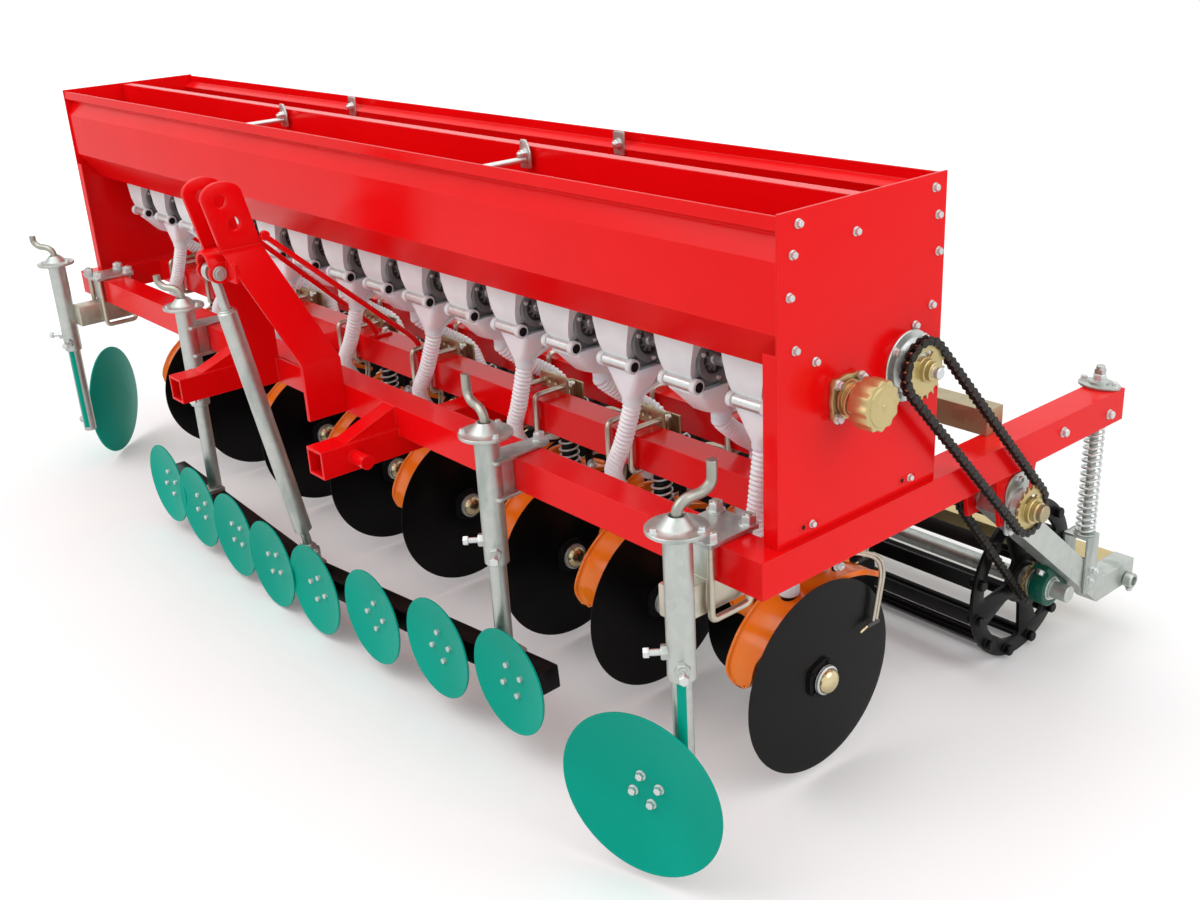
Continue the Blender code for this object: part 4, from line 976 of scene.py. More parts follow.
class Piece:
    """A visible piece under construction: forms, each in its finish."""

    def __init__(self, name: str) -> None:
        """Starts an empty piece."""
        self.name = name
        self.parts: list[tuple[Form, Coat]] = []

    def add(self, coat: Coat, *forms: Form) -> "Piece":
        """Adds forms in one finish."""
        self.parts += [(form, coat) for form in forms]
        return self

    def rod(self, coat: Coat, start: Point, end: Point, *shape: float) -> "Piece":
        """Adds a round bar: its radius, then sides and chamfer."""
        return self.add(coat, round_bar(start, end, *shape))

    def block(self, coat: Coat, low: Point, high: Point, edge: float = 0.0015) -> "Piece":
        """Adds a box with rounded edges."""
        return self.add(coat, box(low, high, edge))

    def put(self, coat: Coat, form: Form, centre: Point, axis: Point, spin: float = 0.0) -> "Piece":
        """Adds a form whose Z points along an axis."""
        return self.add(coat, form.moved(aimed(centre, axis, spin)))

    def bolt(self, centre: Point, axis: Point, across: float = 0.013, coat: Coat = Coat.BRIGHT_ZINC,
             spin: float = 0.3, washer: bool = True) -> "Piece":
        """Adds a bolt head on its washer.

        Args:
            centre: its centre.
            axis: the way it points.
            across: the width across flats.
            coat: the finish.
            spin: the turn about its axis, in radians.
            washer: whether it sits on a washer.

        Returns:
            The same piece.
        """
        place = aimed(centre, axis, spin)
        if washer:
            self.add(coat, lathed(((0.0, 0.0), (across * 0.72, 0.0), (across * 0.72, across * 0.13),
                                   (0.0, across * 0.13)), 20).moved(place))
        head = hex_head(across, across * 0.6).along((0, 0, across * 0.13 if washer else 0.0))
        return self.add(coat, head.moved(place))

    def nut(self, centre: Point, axis: Point, across: float = 0.017, stud: float = 0.010,
            coat: Coat = Coat.BRIGHT_ZINC) -> "Piece":
        """Adds a nut with its washer and a stub of thread beyond it.

        Args:
            centre: its centre.
            axis: the way it points.
            across: the width across flats.
            stud: the length of thread beyond it.
            coat: the finish.

        Returns:
            The same piece.
        """
        self.bolt(centre, axis, across, coat)
        end = Vector(centre) + Vector(axis).normalized() * (across * 0.7 + stud)
        return self.add(coat, round_bar(centre, end, across * 0.30, 14))

    def build(self, shop: Workshop, body: str, slot: str, *replaces: str) -> bpy.types.Object:
        """Makes the object.

        Args:
            shop: where the finishes and the layout come from.
            body: the body it rides on.
            slot: a material slot's name; not used.
            replaces: the frame's nodes that it stands for.

        Returns:
            The finished object.
        """
        coats: list[Coat] = []
        points, faces, slots, start = [], [], [], 0
        for form, coat in self.parts:
            if coat not in coats:
                coats.append(coat)
            points.append(form.points)
            faces += [tuple(index + start for index in face) for face in form.faces]
            slots += [coats.index(coat)] * len(form.faces)
            start += len(form.points)
        mesh = bpy.data.meshes.new(self.name)
        mesh.from_pydata(np.vstack(points).tolist(), [], faces)
        mesh.polygons.foreach_set("material_index", slots)
        bm = bmesh.new()
        bm.from_mesh(mesh)
        bmesh.ops.recalc_face_normals(bm, faces=bm.faces)
        bm.to_mesh(mesh)
        bm.free()
        for coat in coats:
            mesh.materials.append(shop.paint.get(coat))
        mesh.shade_smooth()
        mesh.set_sharp_from_angle(angle=SMOOTH_ANGLE)
        obj = bpy.data.objects.new(self.name, mesh)
        obj.location = shop.layout.datum
        bpy.context.scene.collection.objects.link(obj)
        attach(obj, body)
        if replaces:
            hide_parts(*replaces)
        LOG.info("built %s: %d faces", self.name, len(faces))
        return obj


@dataclass
class Studio:
    """The pale floor, the soft lamps and the camera."""

    camera_place: Point = (2.42412844, -1.21992711, 0.863989257)
    yaw: float = 0.883137464
    pitch: float = 0.388317873
    roll: float = -0.056444132
    lens: float = 39.9632
    sensor: float = 36.0
    floor_half: float = 14.0

    def build(self, layout: Layout) -> None:
        """Sets up everything that isn't the object.

        Args:
            layout: where the part's layout lies in the world.
        """
        bpy.context.scene.view_settings.view_transform = "Standard"
        self._floor()
        self._sky()
        self._lamp("key", (-1.0, -3.2, 4.2), (0.2, 0.0, 0.3), 3.6, 80.0)
        self._lamp("side", (4.2, 0.6, 3.0), (0.6, 0.1, 0.4), 2.6, 40.0)
        self._lamp("top", (0.0, 1.0, 5.0), (0.0, 0.1, 0.4), 4.5, 50.0)
        self._camera(layout)

    def _floor(self) -> None:
        """A plain pale floor."""
        sheet = NodeSheet("pale_floor")
        seen = sheet.node("ShaderNodeLightPath").outputs["Is Camera Ray"]
        reach = sheet.node("ShaderNodeVectorMath", {"operation": "LENGTH"}, {0: sheet.place})
        share = sheet.band(Val(sheet, reach.outputs["Value"]), 1.6, 6.0) * 0.5 + 0.12
        lift = sheet.mixed(Val(sheet, seen) * share, (0.0, 0.0, 0.0), (1.0, 1.0, 1.0))
        grain = sheet.mixed(sheet.noise(3.0), (0.83, 0.83, 0.83), (0.86, 0.86, 0.86))
        sheet.set(Base_Color=grain, Roughness=0.85, Specular_IOR_Level=0.1,
                  Emission_Color=lift, Emission_Strength=1.0)
        mesh = bpy.data.meshes.new("floor")
        half = self.floor_half
        mesh.from_pydata([(-half, -half, 0), (half, -half, 0), (half, half, 0), (-half, half, 0)], [],
                         [(0, 1, 2, 3)])
        mesh.materials.append(sheet.material)
        floor = bpy.data.objects.new("floor", mesh)
        bpy.context.scene.collection.objects.link(floor)

    def _sky(self) -> None:
        """White behind the object, and an even soft light on it."""
        world = bpy.data.worlds.new("studio")
        bpy.context.scene.world = world
        world.use_nodes = True
        nodes, links = world.node_tree.nodes, world.node_tree.links
        paths = nodes.new("ShaderNodeLightPath")
        seen = paths.outputs["Is Camera Ray"]
        for kind in ("Is Glossy Ray", "Is Transmission Ray"):
            either = nodes.new("ShaderNodeMath")
            either.operation = "MAXIMUM"
            links.new(seen, either.inputs[0])
            links.new(paths.outputs[kind], either.inputs[1])
            seen = either.outputs[0]
        strength = nodes.new("ShaderNodeMapRange")
        strength.inputs["To Min"].default_value = 0.82
        strength.inputs["To Max"].default_value = 1.0
        links.new(seen, strength.inputs["Value"])
        background = nodes["Background"]
        background.inputs["Color"].default_value = (1.0, 1.0, 1.0, 1.0)
        links.new(strength.outputs[0], background.inputs["Strength"])

    def _lamp(self, name: str, place: Point, target: Point, size: float, power: float) -> None:
        """One soft square lamp aimed at a point.

        Args:
            name: its name.
            place: where it hangs.
            target: what it points at.
            size: the length of its side.
            power: its power in watts.
        """
        light = bpy.data.lights.new(name, "AREA")
        light.size = size
        light.energy = power
        lamp = bpy.data.objects.new(name, light)
        lamp.location = place
        aim = Vector(place) - Vector(target)
        lamp.rotation_mode = "QUATERNION"
        lamp.rotation_quaternion = aim.to_track_quat("Z", "Y")
        bpy.context.scene.collection.objects.link(lamp)

    def _camera(self, layout: Layout) -> None:
        """The camera at the photograph's viewpoint.

        Args:
            layout: where the part's layout lies in the world.
        """
        a, e, r = self.yaw, self.pitch, self.roll
        back = Vector((math.sin(a) * math.cos(e), -math.cos(a) * math.cos(e), math.sin(e)))
        flat = Vector((math.cos(a), math.sin(a), 0.0))
        up = back.cross(flat)
        right = flat * math.cos(r) + up * math.sin(r)
        up = up * math.cos(r) - flat * math.sin(r)
        data = bpy.data.cameras.new("camera")
        data.lens = self.lens
        data.sensor_width = self.sensor
        camera = bpy.data.objects.new("camera", data)
        place = Vector(self.camera_place) + layout.datum + Vector((0, 0, DECK))
        camera.matrix_world = Matrix((
            (right.x, up.x, back.x, place.x), (right.y, up.y, back.y, place.y),
            (right.z, up.z, back.z, place.z), (0, 0, 0, 1)))
        bpy.context.scene.collection.objects.link(camera)
        bpy.context.scene.camera = camera


def super_ring(centre: Point, half_x: float, half_y: float, power: float, steps: int = 28) -> list[Point]:
    """A level ring between an ellipse, at power 2, and a rectangle, at a high power.

    Args:
        centre: its centre.
        half_x: half its width in X.
        half_y: half its width in Y.
        power: 2 for an ellipse, more for a squarer ring.
        steps: how finely it is drawn.

    Returns:
        The points in order.
    """
    ring = []
    for step in range(steps):
        angle = 2 * math.pi * (step + 0.5) / steps
        c, s = math.cos(angle), math.sin(angle)
        ring.append((centre[0] + half_x * math.copysign(abs(c) ** (2 / power), c),
                     centre[1] + half_y * math.copysign(abs(s) ** (2 / power), s), centre[2]))
    return ring


def dish(radius: float, depth: float, thickness: float, seat: float, steps: int = 7) -> list[Flat]:
    """The profile of a dished plate whose rim lies at height 0 and whose seat lies below it.

    Args:
        radius: the radius of the rim.
        depth: how far the middle lies below the rim.
        thickness: the plate's thickness.
        seat: the radius of the flat middle.
        steps: how finely it is drawn.

    Returns:
        The outline.
    """
    inner, outer = [], []
    for step in range(steps + 1):
        share = step / steps
        reach = seat + (radius - seat) * share
        sag = -depth * (1 - share ** 1.6)
        inner.append((reach, sag + thickness))
        outer.append((reach, sag))
    rim = [(radius + 0.0008, thickness * 0.5)]
    return [(0.0, thickness - depth), *inner, *rim, *reversed(outer), (0.0, -depth)]


def u_bolt(feet: tuple[Point, Point], bends: tuple[Point, Point], radius: float = 0.0055,
           corner: float = 0.012) -> Form:
    """A bent rod with two legs, from one foot round both bends to the other foot."""
    path = eased([feet[0], bends[0], bends[1], feet[1]], corner)
    return swept(path, radius, 12)


def toothed(centre: Flat, root: float, tip: float, teeth: int) -> list[Flat]:
    """The outline of a chain sprocket.

    Args:
        centre: its centre.
        root: the radius between the teeth.
        tip: the radius at the tips of the teeth.
        teeth: the number of teeth.

    Returns:
        The outline.
    """
    outline = []
    for tooth in range(teeth):
        for share, radius in ((0.0, root), (0.28, root), (0.42, tip), (0.58, tip), (0.72, root)):
            angle = 2 * math.pi * (tooth + share) / teeth
            outline.append(polar(centre, radius, angle))
    return outline


@dataclass
class FrameWork:
    """The red frame, which stays as it is, with its rail bolts and two brace rods."""

    rail_x: float = 1.282
    rail_bolts: tuple[Flat, ...] = ((0.913, -0.037), (0.762, -0.027))
    brace_head: Point = (0.047, -0.079, DECK + 0.305)
    brace_foot: Point = (0.090, 0.222, DECK + 0.006)
    brace_radius: float = 0.0055

    def build(self, shop: Workshop) -> None:
        """Dresses the frame and adds the bolts and rods.

        Args:
            shop: where the finishes and the layout come from.
        """
        shop.dress(Coat.RED, "main_frame")
        bolts = Piece("rail_bolts")
        for side in (-1, 1):
            for y, z in self.rail_bolts:
                bolts.bolt((side * self.rail_x, y, DECK + z), (side, 0, 0), 0.013)
        bolts.build(shop, FRAME_BODY, "zinc_plate")
        braces = Piece("mast_braces")
        for side in (-1, 1):
            head = Vector((side * self.brace_head[0], *self.brace_head[1:]))
            foot = Vector((side * self.brace_foot[0], *self.brace_foot[1:]))
            near = foot + Vector((0, -0.016, 0.030))
            braces.add(Coat.RED, swept(eased([head, near, foot], 0.02), self.brace_radius, 12))
            pad = rectangle((foot.x - 0.014, foot.y - 0.018), (foot.x + 0.014, foot.y + 0.034), 0.008)
            braces.add(Coat.RED, top_plate([pad], DECK, DECK + 0.005))
            braces.bolt((foot.x, foot.y + 0.022, DECK + 0.005), UP, 0.012)
            braces.rod(Coat.RED, head - Vector((side * 0.002, 0, 0)), head + Vector((side * 0.008, 0, 0)),
                       0.010, 16)
        braces.build(shop, FRAME_BODY, "red_enamel")


@dataclass
class Hopper:
    """The grain hopper: its own sheets stay, with bolts, ties and slots added."""

    end_x: float = 1.271
    front_y: float = 0.047
    divider_y: float = 0.207
    rear_inner: float = 0.379
    top: float = DECK + 0.480
    bolt_across: float = 0.0096
    end_bolts: tuple[Flat, ...] = (
        (0.083, 0.465), (0.072, 0.425), (0.066, 0.368), (0.078, 0.291), (0.120, 0.265),
        (0.377, 0.463), (0.387, 0.422), (0.391, 0.367), (0.380, 0.288), (0.342, 0.265),
        (0.202, 0.432))
    foot_slots: tuple[Flat, ...] = ((0.110, 0.019), (0.337, 0.019))
    small_holes: tuple[Flat, ...] = ((0.173, 0.159), (0.323, 0.154))
    tie_x: Flat = (-0.340, 0.540)
    rear_tie_x: Flat = (-0.355, 0.579)

    def build(self, shop: Workshop) -> None:
        """Dresses the sheets and adds their fastenings.

        Args:
            shop: where the finishes and the layout come from.
        """
        shop.dress(Coat.RED, "hopper_shell", "hopper_end_left", "hopper_end_right", "hopper_divider")
        self._end_bolts(shop)
        self._ties(shop)

    def _end_bolts(self, shop: Workshop) -> None:
        """Bolt heads, slots and small holes on both end plates.

        Args:
            shop: where the finishes and the layout come from.
        """
        piece = Piece("hopper_fastenings")
        for side in (-1, 1):
            face = side * self.end_x
            for y, z in self.end_bolts:
                piece.bolt((face, y, DECK + z), (side, 0, 0), self.bolt_across)
            for y, z in self.foot_slots:
                slot = rectangle((y - 0.020, DECK + z - 0.006), (y + 0.020, DECK + z + 0.006), 0.0058)
                inner = rectangle((y - 0.0185, DECK + z - 0.0045), (y + 0.0185, DECK + z + 0.0045), 0.0044)
                piece.add(Coat.RED, side_plate([slot, inner], face - 0.0006, face + 0.0008, 0.0002))
                # Painted shade: a black disc stands for the dark hole at the slot's end.
                piece.add(Coat.RUBBER, side_plate([circle((y - 0.012, DECK + z), 0.0036, 14)],
                                                  face - 0.0004, face + 0.0004, 0.0001))
                piece.bolt((face, y + 0.006, DECK + z), (side, 0, 0), 0.0085)
            # Painted shade: black discs stand for the small holes.
            for y, z in self.small_holes:
                piece.rod(Coat.RUBBER, (face - 0.0006, y, DECK + z), (face + 0.0006, y, DECK + z), 0.004,
                          14)
        piece.build(shop, FRAME_BODY, "zinc_plate")

    def _ties(self, shop: Workshop) -> None:
        """Tie rods across the front compartment, each on a cleat at the divider.

        Args:
            shop: where the finishes and the layout come from.
        """
        piece = Piece("hopper_ties")
        z = self.top - 0.022
        for x, rear in zip(self.tie_x, self.rear_tie_x):
            rod_y = (self.front_y + 0.020, self.divider_y - 0.004)
            piece.rod(Coat.BRIGHT_ZINC, (x, rod_y[0], z), (x, rod_y[1], z), 0.0055, 16)
            cleat = softened(((x - 0.015, z - 0.016), (x + 0.015, z - 0.016), (x + 0.015, z + 0.012),
                              (x + 0.004, z + 0.034), (x - 0.012, z + 0.034)), 0.005)
            piece.add(Coat.ZINC, face_plate([cleat], self.divider_y - 0.012, self.divider_y - 0.008))
            piece.nut((x, self.divider_y - 0.012, z + 0.010), (0, -1, 0), 0.014, 0.006)
            inner = self.rear_inner
            plate_outline = rectangle((rear - 0.014, z - 0.018), (rear + 0.014, z + 0.026), 0.004)
            piece.add(Coat.ZINC, face_plate([plate_outline], inner, inner + 0.004))
            piece.nut((rear, inner, z + 0.004), (0, -1, 0), 0.014, 0.004)
        piece.build(shop, FRAME_BODY, "zinc_plate")


@dataclass
class MeterBank:
    """The sixteen seed meters under the hopper, with their funnels, hoses and tubes."""

    disc_front: tuple[float, ...]
    disc_rear: tuple[float, ...]
    count: int = 16
    first_x: float = 1.125
    top: float = 0.803
    front_y: float = 0.134
    rear_y: float = 0.370
    ring: Flat = RATE_SHAFT
    peg: Flat = (0.142, 0.7165)
    necks_y: Flat = (0.170, 0.232)
    necks_z: Flat = (0.648, 0.640)
    passes_y: Flat = (0.162, 0.328)
    feet_y: Flat = (0.246, 0.422)
    foot_z: float = 0.364
    hose_radius: float = 0.0152
    hose_pitch: float = 0.0080
    foot_offset: float = -0.044
    end_x: float = 1.2635

    def build(self, shop: Workshop) -> None:
        """Builds the row in four pieces.

        Args:
            shop: where the finishes and the layout come from.
        """
        pitch = 2 * self.first_x / (self.count - 1)
        places = [self.first_x - pitch * index for index in range(self.count)]
        self._meters(shop, places)
        self._funnels(shop, places)
        self._hoses(shop, places)

    def _meters(self, shop: Workshop, places: Sequence[float]) -> None:
        """Housings with their rotors, on two shafts.

        Args:
            shop: where the finishes and the layout come from.
            places: where the meters stand across.
        """
        piece = Piece("seed_meters")
        unit = self._unit()
        mirror = Matrix.Translation((0, self.front_y + self.rear_y, 0)) @ Matrix.Diagonal((1, -1, 1, 1))
        for x in places:
            for coat, form in unit:
                piece.add(coat, form.along((x, 0, 0)), form.moved(mirror).along((x, 0, 0)))
        y, z = self.ring
        for shaft_y in (y, self.front_y + self.rear_y - y):
            piece.rod(Coat.BRIGHT_ZINC, (-1.20, shaft_y, z), (self.end_x, shaft_y, z), 0.009, 6)
        piece.build(shop, FRAME_BODY, "white_plastic", "meter_row")

    def _unit(self) -> list[tuple[Coat, Form]]:
        """One front meter at X = 0.

        Returns:
            The shapes in their finishes.
        """
        y, z = self.ring
        face = self.front_y
        made: list[tuple[Coat, Form]] = []

        def add(coat: Coat, *forms: Form) -> None:
            """Keeps forms in a finish."""
            made.extend((coat, form) for form in forms)

        rows = ((self.top - 0.003, -0.051, 0.043, 0.000), (0.782, -0.048, 0.040, -0.001),
                (0.752, -0.041, 0.033, 0.000), (0.736, -0.036, 0.029, 0.003), (0.727, -0.034, 0.028, 0.007))
        sections = [((low, face + lean, height), (high, face + lean, height),
                     (high - 0.003, face + 0.030, height), (low + 0.003, face + 0.030, height))
                    for height, low, high, lean in rows]
        add(Coat.WHITE, lofted(sections))
        add(Coat.WHITE, box((-0.058, face - 0.008, self.top - 0.006),
                            (0.050, face + 0.070, self.top - 0.001), 0.001))
        for x in (-0.036, 0.030):
            add(Coat.GREY,
                hex_head(0.009, 0.005).moved(aimed((x, face - 0.003, self.top - 0.006), (0, 0, -1))))
        body = softened(((face + 0.024, self.top - 0.006), (face + 0.022, 0.728), (face + 0.034, 0.702),
                         (face + 0.080, 0.702), (face + 0.083, self.top - 0.006)), 0.010)
        add(Coat.GREY, side_plate([body], -0.033, 0.032, 0.002))
        ring = ((0.025, 0.0), (0.036, 0.0), (0.0375, 0.0015), (0.0375, 0.0075), (0.036, 0.009),
                (0.027, 0.009), (0.025, 0.007))
        add(Coat.GREY, ring_lathed(ring, 32).moved(aimed((0.032, y, z), ACROSS)))
        add(Coat.DARK_GREY, round_bar((0.031, y, z), (0.0335, y, z), 0.0255, 24))
        add(Coat.GREY, side_plate([toothed((y, z), 0.014, 0.0205, 10)], 0.033, 0.038, 0.0004))
        add(Coat.BRIGHT_ZINC, round_bar((0.036, y, z), (0.041, y, z), 0.0095, 16))
        for angle in (35, 155, 275):
            turn = math.radians(angle)
            place = (0.0405, *polar(self.ring, 0.0315, turn))
            add(Coat.BRIGHT_ZINC, hex_head(0.007, 0.004).moved(aimed(place, ACROSS)))
        lug = softened(((y + 0.012, z - 0.052), (y + 0.036, z - 0.050), (y + 0.040, z - 0.024),
                        (y + 0.016, z - 0.030)), 0.006)
        add(Coat.GREY, side_plate([lug], 0.020, 0.040, 0.001))
        add(Coat.BRASS, hex_head(0.010, 0.006).moved(aimed((0.040, y + 0.028, z - 0.040), ACROSS)))
        py, pz = self.peg
        add(Coat.BRIGHT_ZINC, round_bar((-0.030, py, pz), (0.034, py, pz), 0.0106, 22))
        for low, high in ((-0.041, -0.030), (0.030, 0.0425)):
            add(Coat.WHITE, round_bar((low, py, pz), (high, py, pz), 0.0128, 24, 0.0015))
        # Painted shade: a black disc stands for the dark hole in the peg's end.
        add(Coat.RUBBER, round_bar((0.042, py, pz), (0.0435, py, pz), 0.0085, 20))
        return made

    def _funnels(self, shop: Workshop, places: Sequence[float]) -> None:
        """Milky funnels, each with a wing from the rear compartment.

        Args:
            shop: where the finishes and the layout come from.
            places: where the meters stand across.
        """
        piece = Piece("seed_funnels")
        inlet = self.ring[0] - 0.001
        rear = self.front_y + self.rear_y - inlet
        for row, (neck, low) in enumerate(zip(self.necks_y, self.necks_z)):
            middle = (inlet + neck) / 2
            rows = ((0.707, inlet, 0.040, 0.034, 8.0), (0.698, inlet, 0.040, 0.034, 8.0),
                    (0.686, inlet + (neck - inlet) * 0.15, 0.034, 0.031, 6.0),
                    (low + 0.018, middle, 0.0255, 0.0245, 4.0), (low + 0.005, neck, 0.0185, 0.0185, 2.4),
                    (low, neck, 0.0174, 0.0174, 2.0), (low - 0.010, neck, 0.0174, 0.0174, 2.0))
            front = lofted([super_ring((0, y, z), hx, hy, power) for z, y, hx, hy, power in rows])
            rows = ((0.707, rear, 0.036, 0.024, 8.0), (0.696, rear, 0.036, 0.024, 8.0),
                    (low + 0.034, rear + (neck - rear) * 0.35, 0.030, 0.024, 5.0),
                    (low + 0.016, rear + (neck - rear) * 0.75, 0.021, 0.019, 3.0),
                    (low - 0.002, neck + 0.002, 0.0168, 0.0155, 2.0))
            wing = lofted([super_ring((0, y, z), hx, hy, power) for z, y, hx, hy, power in rows])
            collars = [box((-0.043, y - 0.034, 0.703), (0.043, y + 0.034, 0.7085), 0.0015)
                       for y in (inlet, rear)]
            for x in places[row::2]:
                for form in (front, wing, *collars):
                    piece.add(Coat.MILKY, form.along((x, 0, 0)))
        piece.build(shop, FRAME_BODY, "white_plastic", "meter_row")

    def _route(self, x: float, row: int, foot: Point) -> list[Vector]:
        """The middle line of one hose, from its neck past the beam to the strap behind its disc.

        Args:
            x: its place across.
            row: 0 for the front row, 1 for the rear.
            foot: where it ends, at the strap.

        Returns:
            The points in order.
        """
        neck_y, pass_y, neck_z = self.necks_y[row], self.passes_y[row], self.necks_z[row]
        reach = foot[0] - x
        return self._smooth([(x, neck_y, neck_z), (x, neck_y, neck_z - 0.014),
                             (x + reach * 0.08, (neck_y + pass_y) / 2, 0.598 - 0.014 * row),
                             (x + reach * 0.20, pass_y, DECK - 0.010 * row),
                             (x + reach * 0.45, pass_y, 0.500),
                             (x + reach * 0.75, (pass_y + foot[1]) / 2, 0.440), (foot[0], foot[1], 0.390),
                             tuple(foot)])

    def _smooth(self, points: Sequence[Point]) -> list[Vector]:
        """A smooth line through points, in steps of a quarter rib.

        Args:
            points: the points in order.

        Returns:
            The points in order.
        """
        knots = [Vector(point) for point in points]
        smooth: list[Vector] = []
        for before, one, two, after in zip([knots[0], *knots], knots, knots[1:], [*knots[2:], knots[-1]]):
            for step in range(8):
                t = step / 8
                smooth.append(0.5 * ((2 * one) + (two - before) * t
                                     + (2 * before - 5 * one + 4 * two - after) * t ** 2
                                     + (3 * one - before - 3 * two + after) * t ** 3))
        smooth.append(knots[-1])
        return spaced(smooth, self.hose_pitch / 4)

    def _hoses(self, shop: Workshop, places: Sequence[float]) -> None:
        """Ribbed hoses to the sleeves on the straps, and the tubes below them.

        Args:
            shop: where the finishes and the layout come from.
            places: where the meters stand across.
        """
        hoses, tubes = Piece("seed_hoses"), Piece("seed_tubes")
        swing = (-0.0016, 0.0004, 0.0014, 0.0004)
        for index, x in enumerate(places):
            row = index % 2
            disc_x = (self.disc_front, self.disc_rear)[row][index // 2]
            foot = Vector((disc_x + self.foot_offset, self.feet_y[row], self.foot_z))
            route = self._route(x, row, foot)
            hoses.add(Coat.HOSE, swept(route, lambda ring: self.hose_radius + swing[ring % 4], 16))
            hoses.rod(Coat.MILKY, foot - Vector((0, 0, 0.016)), foot + Vector((0, 0, 0.014)), 0.0185, 28,
                      0.003)
            down = [foot - Vector((0, 0, 0.010)), foot - Vector((0, -0.010, 0.090)),
                    foot - Vector((0, -0.050, 0.235))]
            tubes.add(Coat.BLACK, swept(eased(down, 0.06), 0.0150, 18))
        hoses.build(shop, FRAME_BODY, "white_plastic", "meter_row")
        tubes.build(shop, FRAME_BODY, "black_enamel", "meter_row")


@dataclass
class OpenerRank:
    """One row of openers: orange straps and levers on brackets clamped to a beam."""

    name: str
    node: str
    disc_x: tuple[float, ...]
    disc_y: float
    beam_rear: float
    disc_z: float = DISC_Z
    middle: float = -0.062
    strap_edges: tuple[float, float, float] = (-0.084, -0.024, -0.007)
    strap: tuple[Flat, ...] = (
        (-0.137, 0.020), (-0.135, 0.055), (-0.108, 0.100), (-0.056, 0.140), (0.000, 0.157), (0.060, 0.161),
        (0.120, 0.151), (0.166, 0.127))
    lever: tuple[Flat, ...] = (
        (-0.060, 0.118), (-0.010, 0.148), (0.062, 0.150), (0.030, -0.022), (-0.030, -0.022))
    wire_radius: float = 0.0032
    bracket_half: float = 0.041
    bracket_shift: float = -0.003
    bracket_limit: float = 1.122
    bracket_z: Flat = (0.474, 0.586)
    spring_offset: float = 0.0283
    spring_z: Flat = (0.388, 0.506)
    clamp_offset: float = 0.030
    clamp_radius: float = 0.0055
    cheek: Flat = (0.019, 0.025)

    def build(self, shop: Workshop) -> None:
        """Builds the straps, the brackets and the springs as three pieces.

        Args:
            shop: where the finishes and the layout come from.
        """
        straps, brackets, springs = (Piece(f"{self.name}_{part}")
                                     for part in ("straps", "brackets", "springs"))
        strap = self._strap()
        lever = self._lever()
        for x in self.disc_x:
            straps.add(Coat.ORANGE, strap.along((x, self.disc_y, self.disc_z)))
            for coat, form in lever:
                straps.add(coat, form.along((x, self.disc_y, self.disc_z)))
            seat = min(max(x + self.bracket_shift, -self.bracket_limit), self.bracket_limit)
            self._bracket(brackets, seat)
            self._spring(springs, seat)
        straps.build(shop, FRAME_BODY, "orange_enamel", self.node)
        brackets.build(shop, FRAME_BODY, "yellow_zinc_plate", self.node)
        springs.build(shop, FRAME_BODY, "black_enamel", self.node)

    def _strap(self) -> Form:
        """A pressed strap beside the disc's rim, with raised borders and a round tip.

        Returns:
            The shape.
        """
        path = spaced(eased([(0.0, y, z) for y, z in self.strap], 0.050, 8), 0.006)
        left, narrow, wide = self.strap_edges
        half, thick, lip, border = (narrow - left) / 2, 0.0035, 0.0028, 0.0055
        run = 0.0
        sections = []
        for index, point in enumerate(path):
            tangent = (path[min(index + 1, len(path) - 1)] - path[max(index - 1, 0)]).normalized()
            out = Vector((0, -tangent.z, tangent.y))
            if index:
                run += (point - path[index - 1]).length
            rounded = math.sqrt(max(half ** 2 - max(half - run - 0.002, 0.0) ** 2, 0.004 ** 2))
            share = min(max((run - 0.045) / 0.050, 0.0), 1.0)
            low = left + half - rounded
            high = left + half + rounded + (wide - narrow) * share * share * (3 - 2 * share)
            rim = lip * min(1.0, run / half + 0.4)
            edge = min(border, (high - low) * 0.3)
            middle = (low + high) / 2
            shape = ((low, -thick), (high, -thick), (high, thick + rim),
                     (high - edge + 0.0010, thick + rim), (high - edge - 0.0012, thick * 0.5),
                     (middle + 0.010, thick * 0.9), (middle - 0.010, thick * 0.9),
                     (low + edge + 0.0012, thick * 0.5), (low + edge - 0.0010, thick + rim),
                     (low, thick + rim))
            sections.append([point + Vector((u, 0, 0)) + out * v for u, v in shape])
        return lofted(sections)

    def _lever(self) -> list[tuple[Coat, Form]]:
        """Two cheeks and the boss that carry the disc, with the bent double wire.

        Returns:
            The shapes in their finishes.
        """
        outline = softened(self.lever, 0.018)
        made = [(Coat.ORANGE, side_plate([outline], low, low + 0.007)) for low in (-0.062, -0.030)]
        lug = softened(((0.000, 0.150), (0.060, 0.156), (0.052, 0.212), (0.008, 0.212)), 0.014)
        made.append((Coat.ORANGE, side_plate([lug], self.middle - 0.006, self.middle + 0.006)))
        head = hex_head(0.014, 0.008).moved(aimed((-0.046, 0.060, 0.163), (0, 0.1, 1)))
        made.append((Coat.BRIGHT_ZINC, head))
        for shift in (0.0, 0.0085):
            wire = [Vector(point) for point in ((-0.030, 0.070 + shift, 0.182),
                                                (-0.016, 0.098 + shift, 0.194),
                                                (0.010, 0.132 + shift, 0.180),
                                                (0.0125, 0.141 + shift, 0.150),
                                                (0.0125, 0.122 + shift, 0.062))]
            made.append((Coat.NICKEL, swept(eased(wire, 0.016), self.wire_radius, 10)))
        made.append((Coat.DARK_GREY, box((0.0085, 0.106, 0.056), (0.0165, 0.136, 0.064), 0.002)))
        made.append((Coat.BRASS, round_bar((0.0125, 0.088, 0.054), (0.0125, 0.108, 0.059), 0.0024, 10)))
        made.append((Coat.BLACK, round_bar((-0.066, 0, 0), (-0.0215, 0, 0), 0.026, 24)))
        made.append((Coat.BRIGHT_ZINC, hex_head(0.026, 0.012).moved(aimed((-0.066, 0, 0), (-1, 0, 0)))))
        return made

